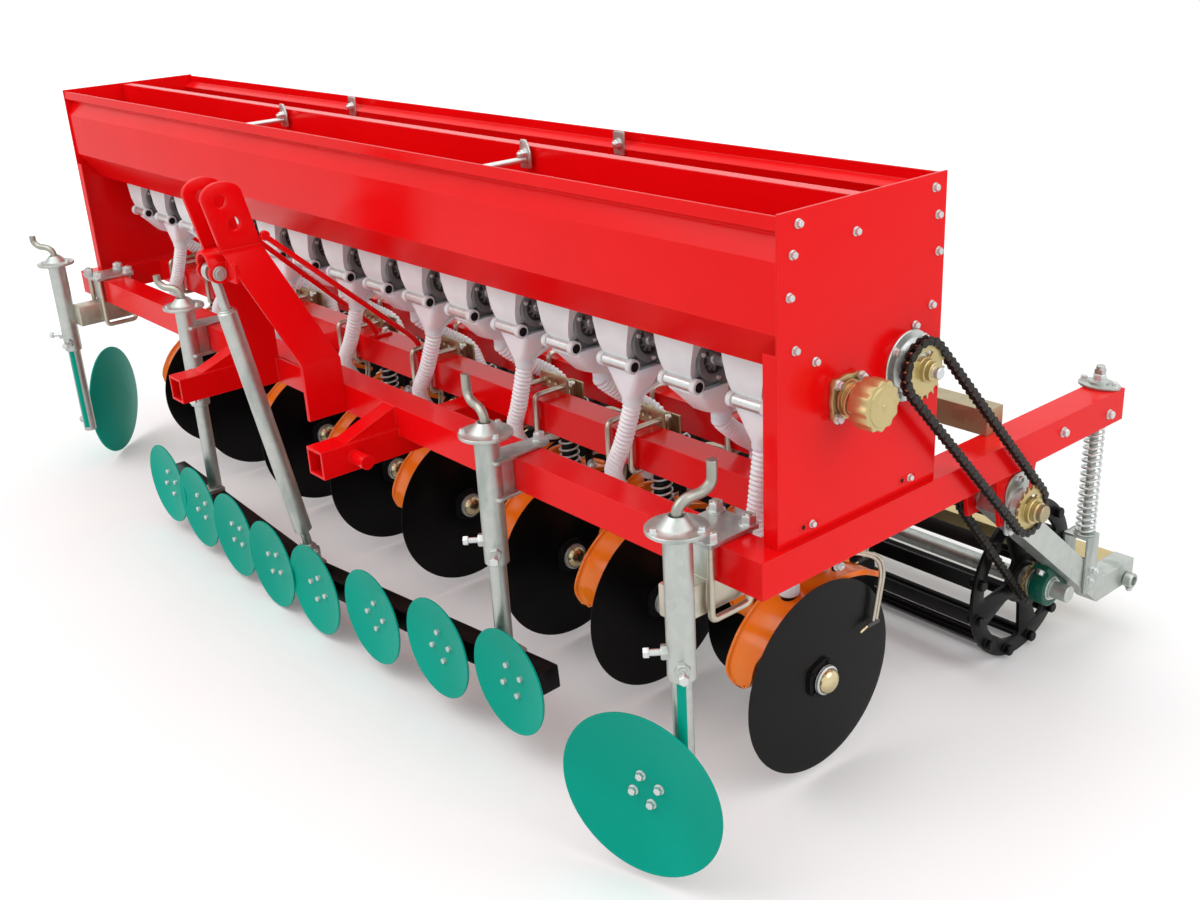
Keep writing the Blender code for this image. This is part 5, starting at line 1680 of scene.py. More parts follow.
    def _bracket(self, piece: Piece, x: float) -> None:
        """A folded bracket behind the beam on two square U-bolts, with black arms below it.

        Args:
            piece: the piece that it goes into.
            x: its place across.
        """
        low, high = self.bracket_z
        face = self.beam_rear
        half = self.bracket_half
        outline = softened(((x - half, low), (x + half, low), (x + half, high), (x - half, high)), 0.006)
        holes = [circle((x + u, v), 0.0055, 14) for u, v in ((-0.012, high - 0.016), (0.006, high - 0.016))]
        piece.add(Coat.OLIVE_ZINC, face_plate([outline, *holes], face + 0.0003, face + 0.006))
        for side in (-1, 1):
            inner, outer = (side * edge for edge in self.cheek)
            cheek = softened(((face + 0.004, low), (face + 0.030, low), (face + 0.038, low + 0.030),
                              (face + 0.038, high - 0.014), (face + 0.004, high - 0.006)), 0.008)
            slot = rectangle((face + 0.014, low + 0.050), (face + 0.024, low + 0.084), 0.004)
            arm = softened(((face + 0.052, 0.374), (face + 0.068, 0.374), (face + 0.068, 0.492),
                            (face + 0.034, 0.545), (face + 0.026, 0.532), (face + 0.053, 0.488)), 0.005)
            piece.add(Coat.BLACK, side_plate([arm], x + inner, x + outer))
            piece.add(Coat.OLIVE_ZINC, side_plate([cheek, slot], x + inner, x + outer))
            fold = sorted((x + side * 0.022, x + side * 0.046))
            piece.block(Coat.OLIVE_ZINC, (fold[0], face + 0.034, low + 0.034),
                        (fold[1], face + 0.039, high - 0.016), 0.0015)
            piece.nut((x + side * 0.025, face + 0.060, 0.386), (side, 0, 0), 0.014, 0.004)
            offset = x + side * self.clamp_offset
            top, bottom = DECK + self.clamp_radius + 0.006, FRAME_BOTTOM - self.clamp_radius - 0.002
            front, rear = face - TUBE - self.clamp_radius - 0.004, face + 0.026
            piece.add(Coat.NICKEL, u_bolt(((offset, rear, top), (offset, rear, bottom)),
                                          ((offset, front, top), (offset, front, bottom)), self.clamp_radius))
            for z in (top, bottom):
                piece.nut((offset, face + 0.006, z), (0, 1, 0), 0.015, 0.004)
        piece.block(Coat.OLIVE_ZINC, (x - 0.0185, face + 0.006, 0.507), (x + 0.0185, face + 0.036, 0.530),
                    0.003)

    def _spring(self, piece: Piece, x: float) -> None:
        """A coil spring on its rod behind the beam.

        Args:
            piece: the piece that it goes into.
            x: its place across.
        """
        y = self.beam_rear + self.spring_offset
        low, high = self.spring_z
        piece.rod(Coat.BLACK, (x, y, low), (x, y, high), 0.0150, 20)
        piece.add(Coat.BRIGHT_ZINC, coil((x, y, low + 0.004), (x, y, high - 0.004), 0.0188, 0.0022, 7.5))
        for z in (low, high - 0.005):
            piece.rod(Coat.BLACK, (x, y, z), (x, y, z + 0.005), 0.0225, 24)


@dataclass
class DiscBlade:
    """One opener disc with its hub, turning on its own body."""

    number: int
    x: float
    y: float
    z: float = DISC_Z
    radius: float = 0.175
    half_thickness: float = 0.002

    def build(self, shop: Workshop) -> None:
        """Builds the blade and its hub as one piece.

        Args:
            shop: where the finishes and the layout come from.
        """
        half, edge = self.half_thickness, self.radius - 0.016
        blade = lathed(((0.0, -half), (edge, -half), (self.radius, -0.0005), (self.radius, 0.0005),
                        (edge, half), (0.0, half)), 96)
        place = aimed((self.x, self.y, self.z), ACROSS)
        piece = Piece(f"opener_blade_{self.number:02d}").add(Coat.BLACK, blade.moved(place))
        lobes = [polar((0, 0), 0.0356 + 0.0014 * math.cos(5 * angle), angle)
                 for angle in arc(0.0, 2 * math.pi, 60)[:-1]]
        base = plate([lobes], 0.006, Matrix.Translation((0, 0, half + 0.003)), 0.001)
        piece.add(Coat.RUBBER, base.moved(place))
        for step in range(5):
            turn = 2 * math.pi * step / 5
            head = hex_head(0.0065, 0.003).along((*polar((0, 0), 0.0318, turn), half + 0.006))
            piece.add(Coat.RUBBER, head.moved(place))
        piece.add(Coat.RUBBER, lathed(((0.0, half + 0.005), (0.0282, half + 0.005), (0.0276, 0.0125),
                                       (0.0, 0.0125)), 36).moved(place))
        piece.add(Coat.BRIGHT_ZINC, ring_lathed(((0.0220, 0.0120), (0.0266, 0.0120), (0.0260, 0.0168),
                                                 (0.0226, 0.0178)), 36).moved(place))
        dome = [(0.0228, 0.0130), (0.0228, 0.0180)]
        dome += [(0.0228 * math.cos(a), 0.0180 + 0.0136 * math.sin(a)) for a in (0.3, 0.6, 0.9, 1.2)]
        piece.add(Coat.BRASS, lathed(((0.0, 0.0125), *dome, (0.0, 0.0320)), 36).moved(place))
        piece.add(Coat.BLACK, lathed(((0.0, -half), (0.026, -half), (0.0255, -0.017), (0.0, -0.0175)),
                                     32).moved(place))
        piece.build(shop, f"disc_{self.number:02d}", "black_enamel", f"opener_disc_{self.number:02d}")


@dataclass
class LevellingGang:
    """Eight dished plates on two bars that meet in a shallow V."""

    plates_x: tuple[float, ...] = (-0.657, -0.478, -0.286, -0.101, 0.088, 0.309, 0.532, 0.747)
    joint: Point = (-0.020, -0.105, 0.100)
    ends: tuple[Point, Point] = ((-0.712, -0.0947, 0.1331), (0.802, -0.0765, 0.1679))
    radius: float = 0.100
    dish_depth: float = 0.012
    thickness: float = 0.004
    bolt_seat: float = 0.030
    bar: float = 0.045
    setback: float = 0.0465
    bolt_ring: float = 0.029
    seats_x: tuple[float, ...] = (0.0, 0.690, -0.500)

    def line(self, x: float) -> Flat:
        """Where the row runs at a place across: Y and Z.

        Args:
            x: its place across.

        Returns:
            Y and Z there.
        """
        end = self.ends[x > self.joint[0]]
        share = (x - self.joint[0]) / (end[0] - self.joint[0])
        return (self.joint[1] + (end[1] - self.joint[1]) * share,
                self.joint[2] + (end[2] - self.joint[2]) * share)

    def bar_point(self, x: float) -> Vector:
        """The middle of the bar at a place across."""
        y, z = self.line(x)
        return Vector((x, y + self.setback, z))

    def build(self, shop: Workshop) -> None:
        """Builds the bars and the plates.

        Args:
            shop: where the finishes and the layout come from.
        """
        bars, plates = Piece("levelling_bars"), Piece("levelling_plates")
        middle = self.bar_point(self.joint[0])
        for end in self.ends:
            tip = self.bar_point(end[0])
            bars.add(Coat.BLACK, slanted_box(middle, tip, self.bar, self.bar, 0.004))
        bars.block(Coat.BLACK, middle - Vector((0.030, 0.026, 0.026)),
                   middle + Vector((0.030, 0.026, 0.026)), 0.003)
        for x in self.seats_x:
            seat = self.bar_point(x)
            bars.block(Coat.ZINC, (x - 0.024, seat.y - 0.024, seat.z),
                       (x + 0.024, seat.y + 0.024, seat.z + 0.030), 0.003)
        form = lathed(dish(self.radius, self.dish_depth, self.thickness, self.bolt_seat), 64)
        for index, x in enumerate(self.plates_x):
            y, z = self.line(x)
            place = aimed((x, y, z), (0, -1, 0), 0.3 + 0.25 * index)
            plates.add(Coat.TEAL, form.moved(place))
            for step in range(4):
                turn = math.pi / 2 * step
                seat = Vector((*polar((0, 0), self.bolt_ring, turn), self.thickness - self.dish_depth))
                plates.bolt(place @ seat, (0, -1, 0), 0.0105, washer=False)
            bars.block(Coat.BLACK, (x - 0.020, y + self.dish_depth, z - 0.020),
                       (x + 0.020, y + self.setback, z + 0.020), 0.002)
        plates.build(shop, FRAME_BODY, "green_enamel", "levelling_gang")
        bars.build(shop, FRAME_BODY, "black_enamel", "levelling_gang")


@dataclass
class ScrewJack:
    """A screw jack: a flanged tube with a crank on top and a rod below."""

    node: str
    x: float
    y: float
    crank_deg: float
    grip: float
    foot: float
    tube_radius: float = 0.022
    rod_radius: float = 0.016
    tube_bottom: float = 0.366
    flange_bottom: float = 0.605
    flange_top: float = 0.616
    flange_radius: float = 0.047
    crank_radius: float = 0.0082
    crank_reach: float = 0.060
    teal_strip: bool = False

    def build(self, shop: Workshop) -> None:
        """Builds the jack with what clamps it to the beam.

        Args:
            shop: where the finishes and the layout come from.
        """
        piece = Piece(f"{self.node}_body")
        self._head(piece)
        self._set_bolts(piece)
        self.clamp(piece)
        piece.build(shop, FRAME_BODY, "zinc_plate", self.node)

    def clamp(self, piece: Piece) -> None:
        """Straps round the front beam.

        Args:
            piece: the piece that it goes into.
        """
        x, y = self.x, self.y
        for low, high in ((DECK + 0.0003, DECK + 0.007), (FRAME_BOTTOM - 0.007, FRAME_BOTTOM - 0.0003)):
            outline = softened(((x - 0.030, y - 0.006), (x + 0.030, y - 0.006), (x + 0.017, TUBE + 0.022),
                                (x - 0.017, TUBE + 0.022)), 0.010)
            piece.add(Coat.ZINC, top_plate([outline], low, high))
        piece.block(Coat.ZINC, (x - 0.016, y, FRAME_BOTTOM - 0.006), (x + 0.016, -0.0003, DECK + 0.006),
                    0.002)
        stud = TUBE + 0.009
        piece.rod(Coat.BRIGHT_ZINC, (x, stud, FRAME_BOTTOM - 0.020), (x, stud, DECK + 0.022), 0.006, 14)
        piece.bolt((x, stud, DECK + 0.007), UP, 0.019)
        piece.bolt((x, stud, FRAME_BOTTOM - 0.007), (0, 0, -1), 0.019)

    def _head(self, piece: Piece) -> None:
        """The tube, its flange and cone, and the crank.

        Args:
            piece: the piece that it goes into.
        """
        x, y, top, low = self.x, self.y, self.flange_top, self.flange_bottom
        wide = self.flange_radius
        piece.add(Coat.ZINC, pipe((x, y, self.tube_bottom), (x, y, low + 0.001), self.tube_radius,
                                  self.rod_radius + 0.001))
        profile = ((0.0, low), (wide - 0.001, low), (wide, low + 0.001), (wide, low + 0.0055),
                   (wide - 0.001, low + 0.0065), (0.031, low + 0.0075), (0.0275, top - 0.001),
                   (0.0155, top + 0.012), (0.0135, top + 0.0135), (0.0115, top + 0.0125),
                   (0.0105, top + 0.008), (0.0, top + 0.008))
        piece.add(Coat.ZINC, lathed(profile, 40).along((x, y, 0)))
        piece.rod(Coat.RUBBER, (x, y, top + 0.007), (x, y, top + 0.0095), 0.0108, 20)
        for step in range(3):
            turn = math.radians(self.crank_deg + 60 + 120 * step)
            piece.bolt((*polar((x, y), 0.039, turn), low + 0.0068), UP, 0.009)
        turn = math.radians(self.crank_deg)
        out = Vector((math.cos(turn), math.sin(turn), 0)) * self.crank_reach
        base = Vector((x, y, top))
        rise = Vector((0, 0, 0.014))
        path = [base, base + rise + Vector((0, 0, 0.008)), base + out * 0.25 + rise + Vector((0, 0, 0.020)),
                base + out * 0.75 + rise + Vector((0, 0, 0.022)), base + out + rise + Vector((0, 0, 0.034)),
                base + out + Vector((0, 0, 0.014 + self.grip))]
        piece.add(Coat.STEEL, swept(eased(path, 0.020), self.crank_radius, 18))
        piece.rod(Coat.ZINC, (x, y, self.foot), (x, y, low - 0.01), self.rod_radius)
        if self.teal_strip:
            # A teal strip shows down one side of the rod.
            start = Vector((x + 0.0035, y - 0.0040, self.foot + 0.010))
            piece.rod(Coat.TEAL, start, (start.x, start.y, self.tube_bottom - 0.001), 0.0116, 18)

    def _set_bolts(self, piece: Piece) -> None:
        """Two set bolts at right angles in nuts welded to the tube.

        Args:
            piece: the piece that it goes into.
        """
        for heading, z in ((-130.0, 0.410), (-40.0, 0.392)):
            turn = math.radians(heading)
            out = Vector((math.cos(turn), math.sin(turn), 0))
            skin = Vector((self.x, self.y, z)) + out * (self.tube_radius - 0.003)
            piece.put(Coat.ZINC, hex_head(0.021, 0.011), skin, out, 0.2)
            piece.rod(Coat.BRIGHT_ZINC, skin, skin + out * 0.034, 0.0052, 14)
            piece.put(Coat.BRIGHT_ZINC, hex_head(0.015, 0.009), skin + out * 0.028, out, 0.5)


@dataclass
class OuterJack(ScrewJack):
    """An outer jack on an arm under the beam, held by a plate and two U-bolts."""

    side: int = 1
    clamp_x: float = 1.155
    seat: Point = (0.0, 0.0, 0.0)
    outward: Point = (0.0, 0.0, 1.0)
    knee: Point | None = None
    teal_strip: bool = True

    def clamp(self, piece: Piece) -> None:
        """The top plate, the arm below the beam and the bolts that join them.

        Args:
            piece: the piece that it goes into.
        """
        middle = self.side * self.clamp_x
        low, high = (middle - 0.045, -0.022), (middle + 0.045, 0.082)
        piece.add(Coat.ZINC, top_plate([rectangle(low, high, 0.004)], DECK + 0.0003, DECK + 0.008))
        arm_low, arm_high = FRAME_BOTTOM - 0.055, FRAME_BOTTOM - 0.0003
        piece.block(Coat.NICKEL, (middle - 0.024, self.y + 0.012, arm_low),
                    (middle + 0.024, 0.095, arm_high), 0.004)
        piece.block(Coat.ZINC, (middle - 0.025, -0.007, FRAME_BOTTOM - 0.006),
                    (middle + 0.025, -0.0003, DECK + 0.004), 0.002)
        for u in (-0.034, 0.034):
            x = middle + u
            front, rear, bottom = -0.0105, 0.0705, arm_low - 0.0075
            piece.add(Coat.NICKEL, u_bolt(((x, front, DECK + 0.026), (x, rear, DECK + 0.026)),
                                          ((x, front, bottom), (x, rear, bottom)), 0.0058))
            for y in (front, rear):
                piece.bolt((x, y, DECK + 0.008), UP, 0.021)
        start = Vector(self.seat) + Vector(self.outward) * 0.011
        post = Vector((self.x, self.y, self.seat[2]))
        path = [start, post] if self.knee is None else [start, Vector(self.knee), post]
        piece.add(Coat.ZINC, swept(eased(path, 0.010), 0.0085, 16))
        piece.rod(Coat.ZINC, self.seat, start, 0.026, 28)


@dataclass
class SidePlate:
    """A large dished plate beside an outer jack."""

    node: str
    centre: Point
    radius: float
    heading_deg: float
    depth: float = 0.020
    thickness: float = 0.005
    bolt_ring: float = 0.025

    def build(self, shop: Workshop) -> None:
        """Builds the plate with its four bolts.

        Args:
            shop: where the finishes and the layout come from.
        """
        turn = math.radians(self.heading_deg)
        facing = Vector((math.cos(turn), math.sin(turn), 0))
        place = aimed(self.centre, facing, 0.35)
        piece = Piece(f"{self.node}_plate")
        piece.add(Coat.TEAL, lathed(dish(self.radius, self.depth, self.thickness, 0.032), 96).moved(place))
        for step in range(4):
            angle = math.pi / 2 * step
            seat = Vector((*polar((0, 0), self.bolt_ring, angle), self.thickness - self.depth))
            piece.bolt(place @ seat, facing, 0.012)
        piece.build(shop, FRAME_BODY, "green_enamel", self.node)


@dataclass
class Mast:
    """The three-point mast: two bent plates with round tops, a foot plate and the link's yoke."""

    width: float = 0.085
    thickness: float = 0.010
    gap: float = 0.040
    spread: float = 0.137
    top: Flat = (-0.193, 0.976)
    bend: Flat = (-0.170, 0.846)
    foot: Flat = (-0.0853, 0.616)
    foot_bottom: float = 0.499
    holes: tuple[Flat, ...] = ((-0.156, 0.940), (-0.134, 0.894))
    hole_radius: float = 0.0127
    pin: Point = YOKE_PIN

    def build(self, shop: Workshop) -> None:
        """Builds both plates and what joins them.

        Args:
            shop: where the finishes and the layout come from.
        """
        piece = Piece("mast_plates")
        for side in (-1, 1):
            self._plate(piece, side)
        piece.block(Coat.RED, (-self.spread + 0.004, -0.008, self.foot_bottom + 0.001),
                    (self.spread - 0.004, -0.0006, DECK - 0.001), 0.001)
        self._yoke(piece)
        piece.build(shop, FRAME_BODY, "red_enamel", "hitch_mast")

    def _plate(self, piece: Piece, side: int) -> None:
        """One side: a flat top with two holes, then a bent leg down to the beam.

        Args:
            piece: the piece that it goes into.
            side: 1 for the right end, -1 for the left.
        """
        y, z = self.bend
        lean = (self.top[0] - y) / (self.top[1] - z)
        top = self.top[1]
        front, rear = y + lean * (top - z), y + lean * (top - z) + self.width
        round_top = [((front + rear) / 2 + self.width / 2 * math.cos(a), top - 0.030 + 0.030 * math.sin(a))
                     for a in arc(0.0, math.pi, 12)]
        outline = [(y, z), (y + self.width, z), *round_top]
        holes = [circle(place, self.hole_radius, 28) for place in self.holes]
        half = self.thickness / 2
        piece.add(Coat.RED, side_plate([outline, *holes], side * (self.gap - half),
                                       side * (self.gap + half), 0.0012))

        def section(x: float, at_y: float, at_z: float, slant: float) -> list[Point]:
            """Four corners of the leg at a place.

            Args:
                x: its middle in X.
                at_y: its place in Y.
                at_z: its place in Z.
                slant: how far its near edge is lifted.

            Returns:
                The points in order.
            """
            near, far = x - side * half, x + side * half
            return [(near, at_y, at_z + slant), (far, at_y, at_z - slant),
                    (far, at_y + self.width, at_z - slant), (near, at_y + self.width, at_z + slant)]

        gap, spread = side * self.gap, side * self.spread
        rows = [section(gap, y, z + 0.001, 0.0), section(gap, y, z, 0.0)]
        for share in (0.03, 0.97):
            rows.append(section(gap + (spread - gap) * share, y + (self.foot[0] - y) * share,
                                z + (self.foot[1] - z) * share, 0.002))
        rows += [section(spread, self.foot[0], self.foot[1] - 0.004, 0.0),
                 section(spread, self.foot[0], self.foot_bottom, 0.0)]
        piece.add(Coat.RED, lofted(rows))

    def _yoke(self, piece: Piece) -> None:
        """The curved strap and ears that hold the link's upper eye.

        Args:
            piece: the piece that it goes into.
        """
        _, y, z = self.pin
        piece.block(Coat.RED, (-0.064, -0.158, z - 0.020), (0.064, -0.147, z + 0.020), 0.003)
        ear = [polar((y, z), 0.020, a) for a in arc(0.5 * math.pi, 1.5 * math.pi, 10)]
        ear += [(-0.148, z - 0.020), (-0.148, z + 0.020)]
        for side in (-1, 1):
            piece.add(Coat.RED, side_plate([ear], side * 0.022, side * 0.030, 0.0012))
        arch = [polar((0, z + 0.014), 0.030, a) for a in arc(0.0, math.pi, 12)]
        arch += [polar((0, z + 0.014), 0.022, a) for a in arc(math.pi, 0.0, 12)]
        piece.add(Coat.RED, face_plate([arch], y - 0.018, -0.148, 0.001))
        piece.rod(Coat.ZINC, (-0.036, y, z), (0.036, y, z), 0.0095, 24)
        for side in (-1, 1):
            piece.rod(Coat.ZINC, (side * 0.030, y, z), (side * 0.0345, y, z), 0.0145, 24)


@dataclass
class TopBrace:
    """The galvanised tube from the mast's yoke down to the levelling gang."""

    top: Point = YOKE_PIN
    radius: float = 0.019
    neck: float = 0.0095

    def build(self, shop: Workshop, gang: LevellingGang) -> None:
        """Builds the brace down to the gang's seat.

        Args:
            shop: where the finishes and the layout come from.
            gang: the levelling gang that it stands on.
        """
        pad = gang.bar_point(0.0) + Vector((0, 0, GANG_SEAT))
        top, foot = Vector(self.top), pad + Vector((0, 0, 0.026))
        run = (foot - top).normalized()
        piece = Piece("brace_tube")
        head, tail = top + run * 0.085, foot - run * 0.050
        piece.add(Coat.ZINC, pipe(head, tail, self.radius, 0.012, 32))
        piece.rod(Coat.ZINC, top + run * 0.016, head + run * 0.012, self.neck, 20)
        piece.rod(Coat.ZINC, head - run * 0.004, head + run * 0.006, 0.0155, 24)
        eye = ring_lathed(((0.0102, -0.009), (0.0195, -0.009), (0.0205, 0.0), (0.0195, 0.009),
                           (0.0102, 0.009)), 32)
        piece.add(Coat.ZINC, eye.moved(aimed(top, ACROSS)))
        piece.rod(Coat.ZINC, tail - run * 0.012, foot - run * 0.008, self.neck, 20)
        piece.put(Coat.ZINC, lathed(((0.0, -0.016), (0.010, -0.0125), (0.0155, -0.004), (0.016, 0.003),
                                     (0.011, 0.012), (0.0, 0.016)), 28), foot - run * 0.004, run)
        for side in (-1, 1):
            tab = softened(((pad.y - 0.013, pad.z), (pad.y + 0.013, pad.z),
                            (foot.y + 0.013, foot.z + 0.014), (foot.y - 0.013, foot.z + 0.014)), 0.008)
            piece.add(Coat.ZINC, side_plate([tab], side * 0.0165, side * 0.022))
            piece.bolt((side * 0.022, foot.y, foot.z - 0.002), (side, 0, 0), 0.015)
        piece.block(Coat.ZINC, (-0.022, pad.y - 0.013, pad.z), (0.022, pad.y + 0.013, pad.z + 0.005),
                    0.001)
        piece.build(shop, FRAME_BODY, "zinc_plate", "top_brace")


@dataclass
class RollerChain:
    """A roller chain round two sprockets, link by link."""

    name: str
    node: str
    x: float
    one: Flat
    one_radius: float
    two: Flat
    two_radius: float
    pitch: float = 0.0148

    def _loop(self) -> list[Vector]:
        """The closed middle line in Y and Z.

        Returns:
            The points in order.
        """
        one, two = Vector((0, *self.one)), Vector((0, *self.two))
        gap = two - one
        heading = math.atan2(gap.z, gap.y)
        lean = math.acos((self.one_radius - self.two_radius) / gap.length)
        points: list[Vector] = []
        wraps = ((one, self.one_radius, heading + lean, heading - lean + 2 * math.pi),
                 (two, self.two_radius, heading - lean, heading + lean))
        for centre, radius, start, end in wraps:
            for angle in arc(start, end, 24):
                points.append(centre + Vector((0, math.cos(angle), math.sin(angle))) * radius)
        return points

    def build(self, shop: Workshop) -> None:
        """Builds every link's plates and rollers.

        Args:
            shop: where the finishes and the layout come from.
        """
        loop = self._loop()
        path = spaced([*loop, loop[0]], self.pitch)
        count = (len(path) - 1) // 2 * 2
        path = spaced([*loop, loop[0]], sum((b - a).length for a, b in zip(path, path[1:])) / count)[:-1]
        piece = Piece(self.name)
        steps = 5
        for index, here in enumerate(path):
            there = path[(index + 1) % len(path)]
            ahead = (there - here).normalized()
            out = Vector((0, -ahead.z, ahead.y))
            size = 0.0070
            outline = []
            for centre, turn in ((here, math.pi / 2), (there, -math.pi / 2)):
                for step in range(steps + 1):
                    angle = turn + math.pi * step / steps
                    point = centre + ahead * (size * math.cos(angle)) + out * (size * math.sin(angle))
                    outline.append((point.y, point.z))
                waist = (here + there) / 2 + out * (size * 0.66 * (-1 if centre is here else 1))
                outline.append((waist.y, waist.z))
            near = 0.0036 if index % 2 else 0.0054
            for side in (-1, 1):
                low, high = sorted((self.x + side * near, self.x + side * (near + 0.0013)))
                bottom = [(low, y, z) for y, z in outline]
                top = [(high, y, z) for y, z in outline]
                piece.add(Coat.CHAIN, lofted([bottom, top]))
            piece.put(Coat.CHAIN,
                      lathed(((0.0, -0.0076), (0.0030, -0.0076), (0.0030, -0.0034), (0.0048, -0.0034),
                              (0.0048, 0.0034), (0.0030, 0.0034), (0.0030, 0.0076),
                              (0.0, 0.0076)), 10), (self.x, here.y, here.z), ACROSS)
        piece.build(shop, FRAME_BODY, "chain_steel", self.node)


@dataclass
class Drive:
    """The chain drive at the right end: flanges, sprockets, knob, chains and counter shaft."""

    face: float = 1.2713
    upper: Flat = (0.330, 0.761)
    knob: Flat = RATE_SHAFT
    counter: Flat = (0.645, 0.426)
    roller: Flat = ROLLER_AXIS
    chain_x: float = 1.300
    inner_x: float = 1.186

    def build(self, shop: Workshop) -> None:
        """Builds the drive from top to bottom.

        Args:
            shop: where the finishes and the layout come from.
        """
        shop.dress(Coat.RED, "shaft_hanger_left", "shaft_hanger_right")
        self._flange(shop)
        self._knob(shop)
        self._counter(shop)
        RollerChain("upper_chain", "chain_upper", self.chain_x, self.upper, 0.0440, self.counter,
                    0.0420).build(shop)
        RollerChain("lower_chain", "chain_lower", self.inner_x, self.counter, 0.0400, self.roller,
                    0.0385).build(shop)

    def _sprocket(self, centre: Flat, x: float, root: float, teeth: int, bore: float) -> list[Form]:
        """A toothed plate with a moon-shaped window and its hub.

        Args:
            centre: its centre.
            x: its place across.
            root: the radius between the teeth.
            teeth: the number of teeth.
            bore: the radius of its hub.

        Returns:
            The shapes.
        """
        y, z = centre
        moon = [polar(centre, 0.66 * root, a) for a in arc(0.9, 2.4, 8)]
        moon += [polar(centre, 0.45 * root, a) for a in arc(2.3, 1.0, 6)]
        return [side_plate([toothed(centre, root - 0.0035, root + 0.0035, teeth), moon], x - 0.0026,
                           x + 0.0026, 0.0006), round_bar((x, y, z), (x + 0.012, y, z), bore, 28)]

    def _flange(self, shop: Workshop) -> None:
        """The upper bearing flange, sprocket and shaft end.

        Args:
            shop: where the finishes and the layout come from.
        """
        y, z = self.upper
        piece = Piece("upper_drive")
        profile = ((0.0, 0.0), (0.0548, 0.0), (0.0552, 0.0015), (0.0540, 0.0030), (0.0440, 0.0034),
                   (0.0405, 0.0050), (0.0340, 0.0140), (0.0265, 0.0185), (0.0250, 0.0235),
                   (0.0215, 0.0245), (0.0, 0.0245))
        piece.put(Coat.BRIGHT_ZINC, lathed(profile, 48), (self.face, y, z), ACROSS)
        for angle in (50, 140, 230, 320):
            turn = math.radians(angle)
            piece.bolt((self.face + 0.0035, *polar(self.upper, 0.0480, turn)), ACROSS, 0.010)
        piece.add(Coat.GOLD_ZINC, *self._sprocket(self.upper, self.chain_x, 0.0440, 20, 0.0180))
        piece.rod(Coat.GOLD_ZINC, (self.chain_x + 0.012, y, z), (self.chain_x + 0.020, y, z), 0.0150, 24)
        piece.rod(Coat.BRIGHT_ZINC, (self.face, y, z), (self.chain_x + 0.030, y, z), 0.0092, 24)
        piece.build(shop, FRAME_BODY, "zinc_plate", "drive_flange")

    def _knob(self, shop: Workshop) -> None:
        """The rate knob: a four-eared flange, spring washers and a scalloped grip.

        Args:
            shop: where the finishes and the layout come from.
        """
        y, z = self.knob
        face = self.face
        piece = Piece("rate_handle")
        ears = [polar(self.knob, 0.0335 + 0.0085 * max(0.0, math.cos(4 * (a - math.pi / 4))) ** 2, a)
                for a in arc(0.0, 2 * math.pi, 48)[:-1]]
        piece.add(Coat.GOLD_ZINC, side_plate([ears], face, face + 0.007, 0.0012))
        for step in range(4):
            turn = math.pi / 4 + math.pi / 2 * step
            place = (face + 0.007, *polar(self.knob, 0.0360, turn))
            piece.rod(Coat.GOLD_ZINC, place, (place[0] + 0.004, *place[1:]), 0.0080, 20)
            piece.bolt((place[0] + 0.004, *place[1:]), ACROSS, 0.011)
        piece.rod(Coat.GOLD_ZINC, (face + 0.006, y, z), (face + 0.034, y, z), 0.0215, 32)
        wave = [Vector((face + 0.0225 + 0.0045 * math.sin(a), *polar(self.knob, 0.0255, a)))
                for a in arc(0.0, 6 * math.pi, 72)]
        piece.add(Coat.COPPER, swept(wave, 0.0020, 8))
        for x in (face + 0.012, face + 0.030):
            piece.put(Coat.COPPER, ring_lathed(((0.019, -0.0012), (0.0275, -0.0012), (0.0275, 0.0012),
                                                (0.019, 0.0012)), 32), (x, y, z), ACROSS)
        grip = [polar(self.knob, 0.0365 + 0.0018 * math.cos(12 * a), a)
                for a in arc(0.0, 2 * math.pi, 96)[:-1]]
        piece.add(Coat.GOLD_ZINC, side_plate([grip], face + 0.036, face + 0.0700, 0.0030))
        piece.put(Coat.GOLD_ZINC, lathed(((0.0, 0.0), (0.0300, 0.0), (0.0290, 0.0030), (0.0, 0.0036)),
                                         40), (face + 0.0690, y, z), ACROSS)
        piece.rod(Coat.GOLD_ZINC, (face + 0.0715, y, z), (face + 0.0735, y, z), 0.0040, 14)
        piece.build(shop, FRAME_BODY, "yellow_zinc_plate", "rate_knob")

    def _counter(self, shop: Workshop) -> None:
        """The counter shaft with its flange bearing and two sprockets.

        Args:
            shop: where the finishes and the layout come from.
        """
        y, z = self.counter
        piece = Piece("counter_drive")
        piece.rod(Coat.OLIVE_ZINC, (-1.282, y, z), (self.chain_x + 0.030, y, z), 0.0150, 32)
        for side in (-1, 1):
            for x in (1.210, 1.256):
                piece.put(Coat.ZINC, ring_lathed(((0.0152, -0.003), (0.022, -0.003), (0.022, 0.003),
                                                  (0.0152, 0.003)), 28), (side * x, y, z), ACROSS)
        plate_x = 1.2703
        outline = softened(((y - 0.030, z - 0.052), (y + 0.030, z - 0.052), (y + 0.034, z + 0.040),
                            (y + 0.018, z + 0.060), (y - 0.018, z + 0.060),
                            (y - 0.034, z + 0.040)), 0.014)
        piece.add(Coat.ZINC, side_plate([outline], plate_x, plate_x + 0.004))
        profile = ((0.0, 0.0), (0.0340, 0.0), (0.0335, 0.003), (0.0285, 0.0045), (0.0270, 0.0140),
                   (0.0245, 0.0160), (0.0165, 0.0165), (0.0, 0.0165))
        piece.put(Coat.BRIGHT_ZINC, lathed(profile, 40), (plate_x + 0.004, y, z), ACROSS)
        for u, v in ((0.0, 0.050), (-0.022, -0.042), (0.022, -0.042)):
            piece.bolt((plate_x + 0.004, y + u, z + v), ACROSS, 0.011)
        piece.add(Coat.GOLD_ZINC, *self._sprocket(self.counter, self.chain_x, 0.0420, 19, 0.0235))
        piece.rod(Coat.GOLD_ZINC, (self.chain_x + 0.012, y, z), (self.chain_x + 0.020, y, z), 0.0180, 28)
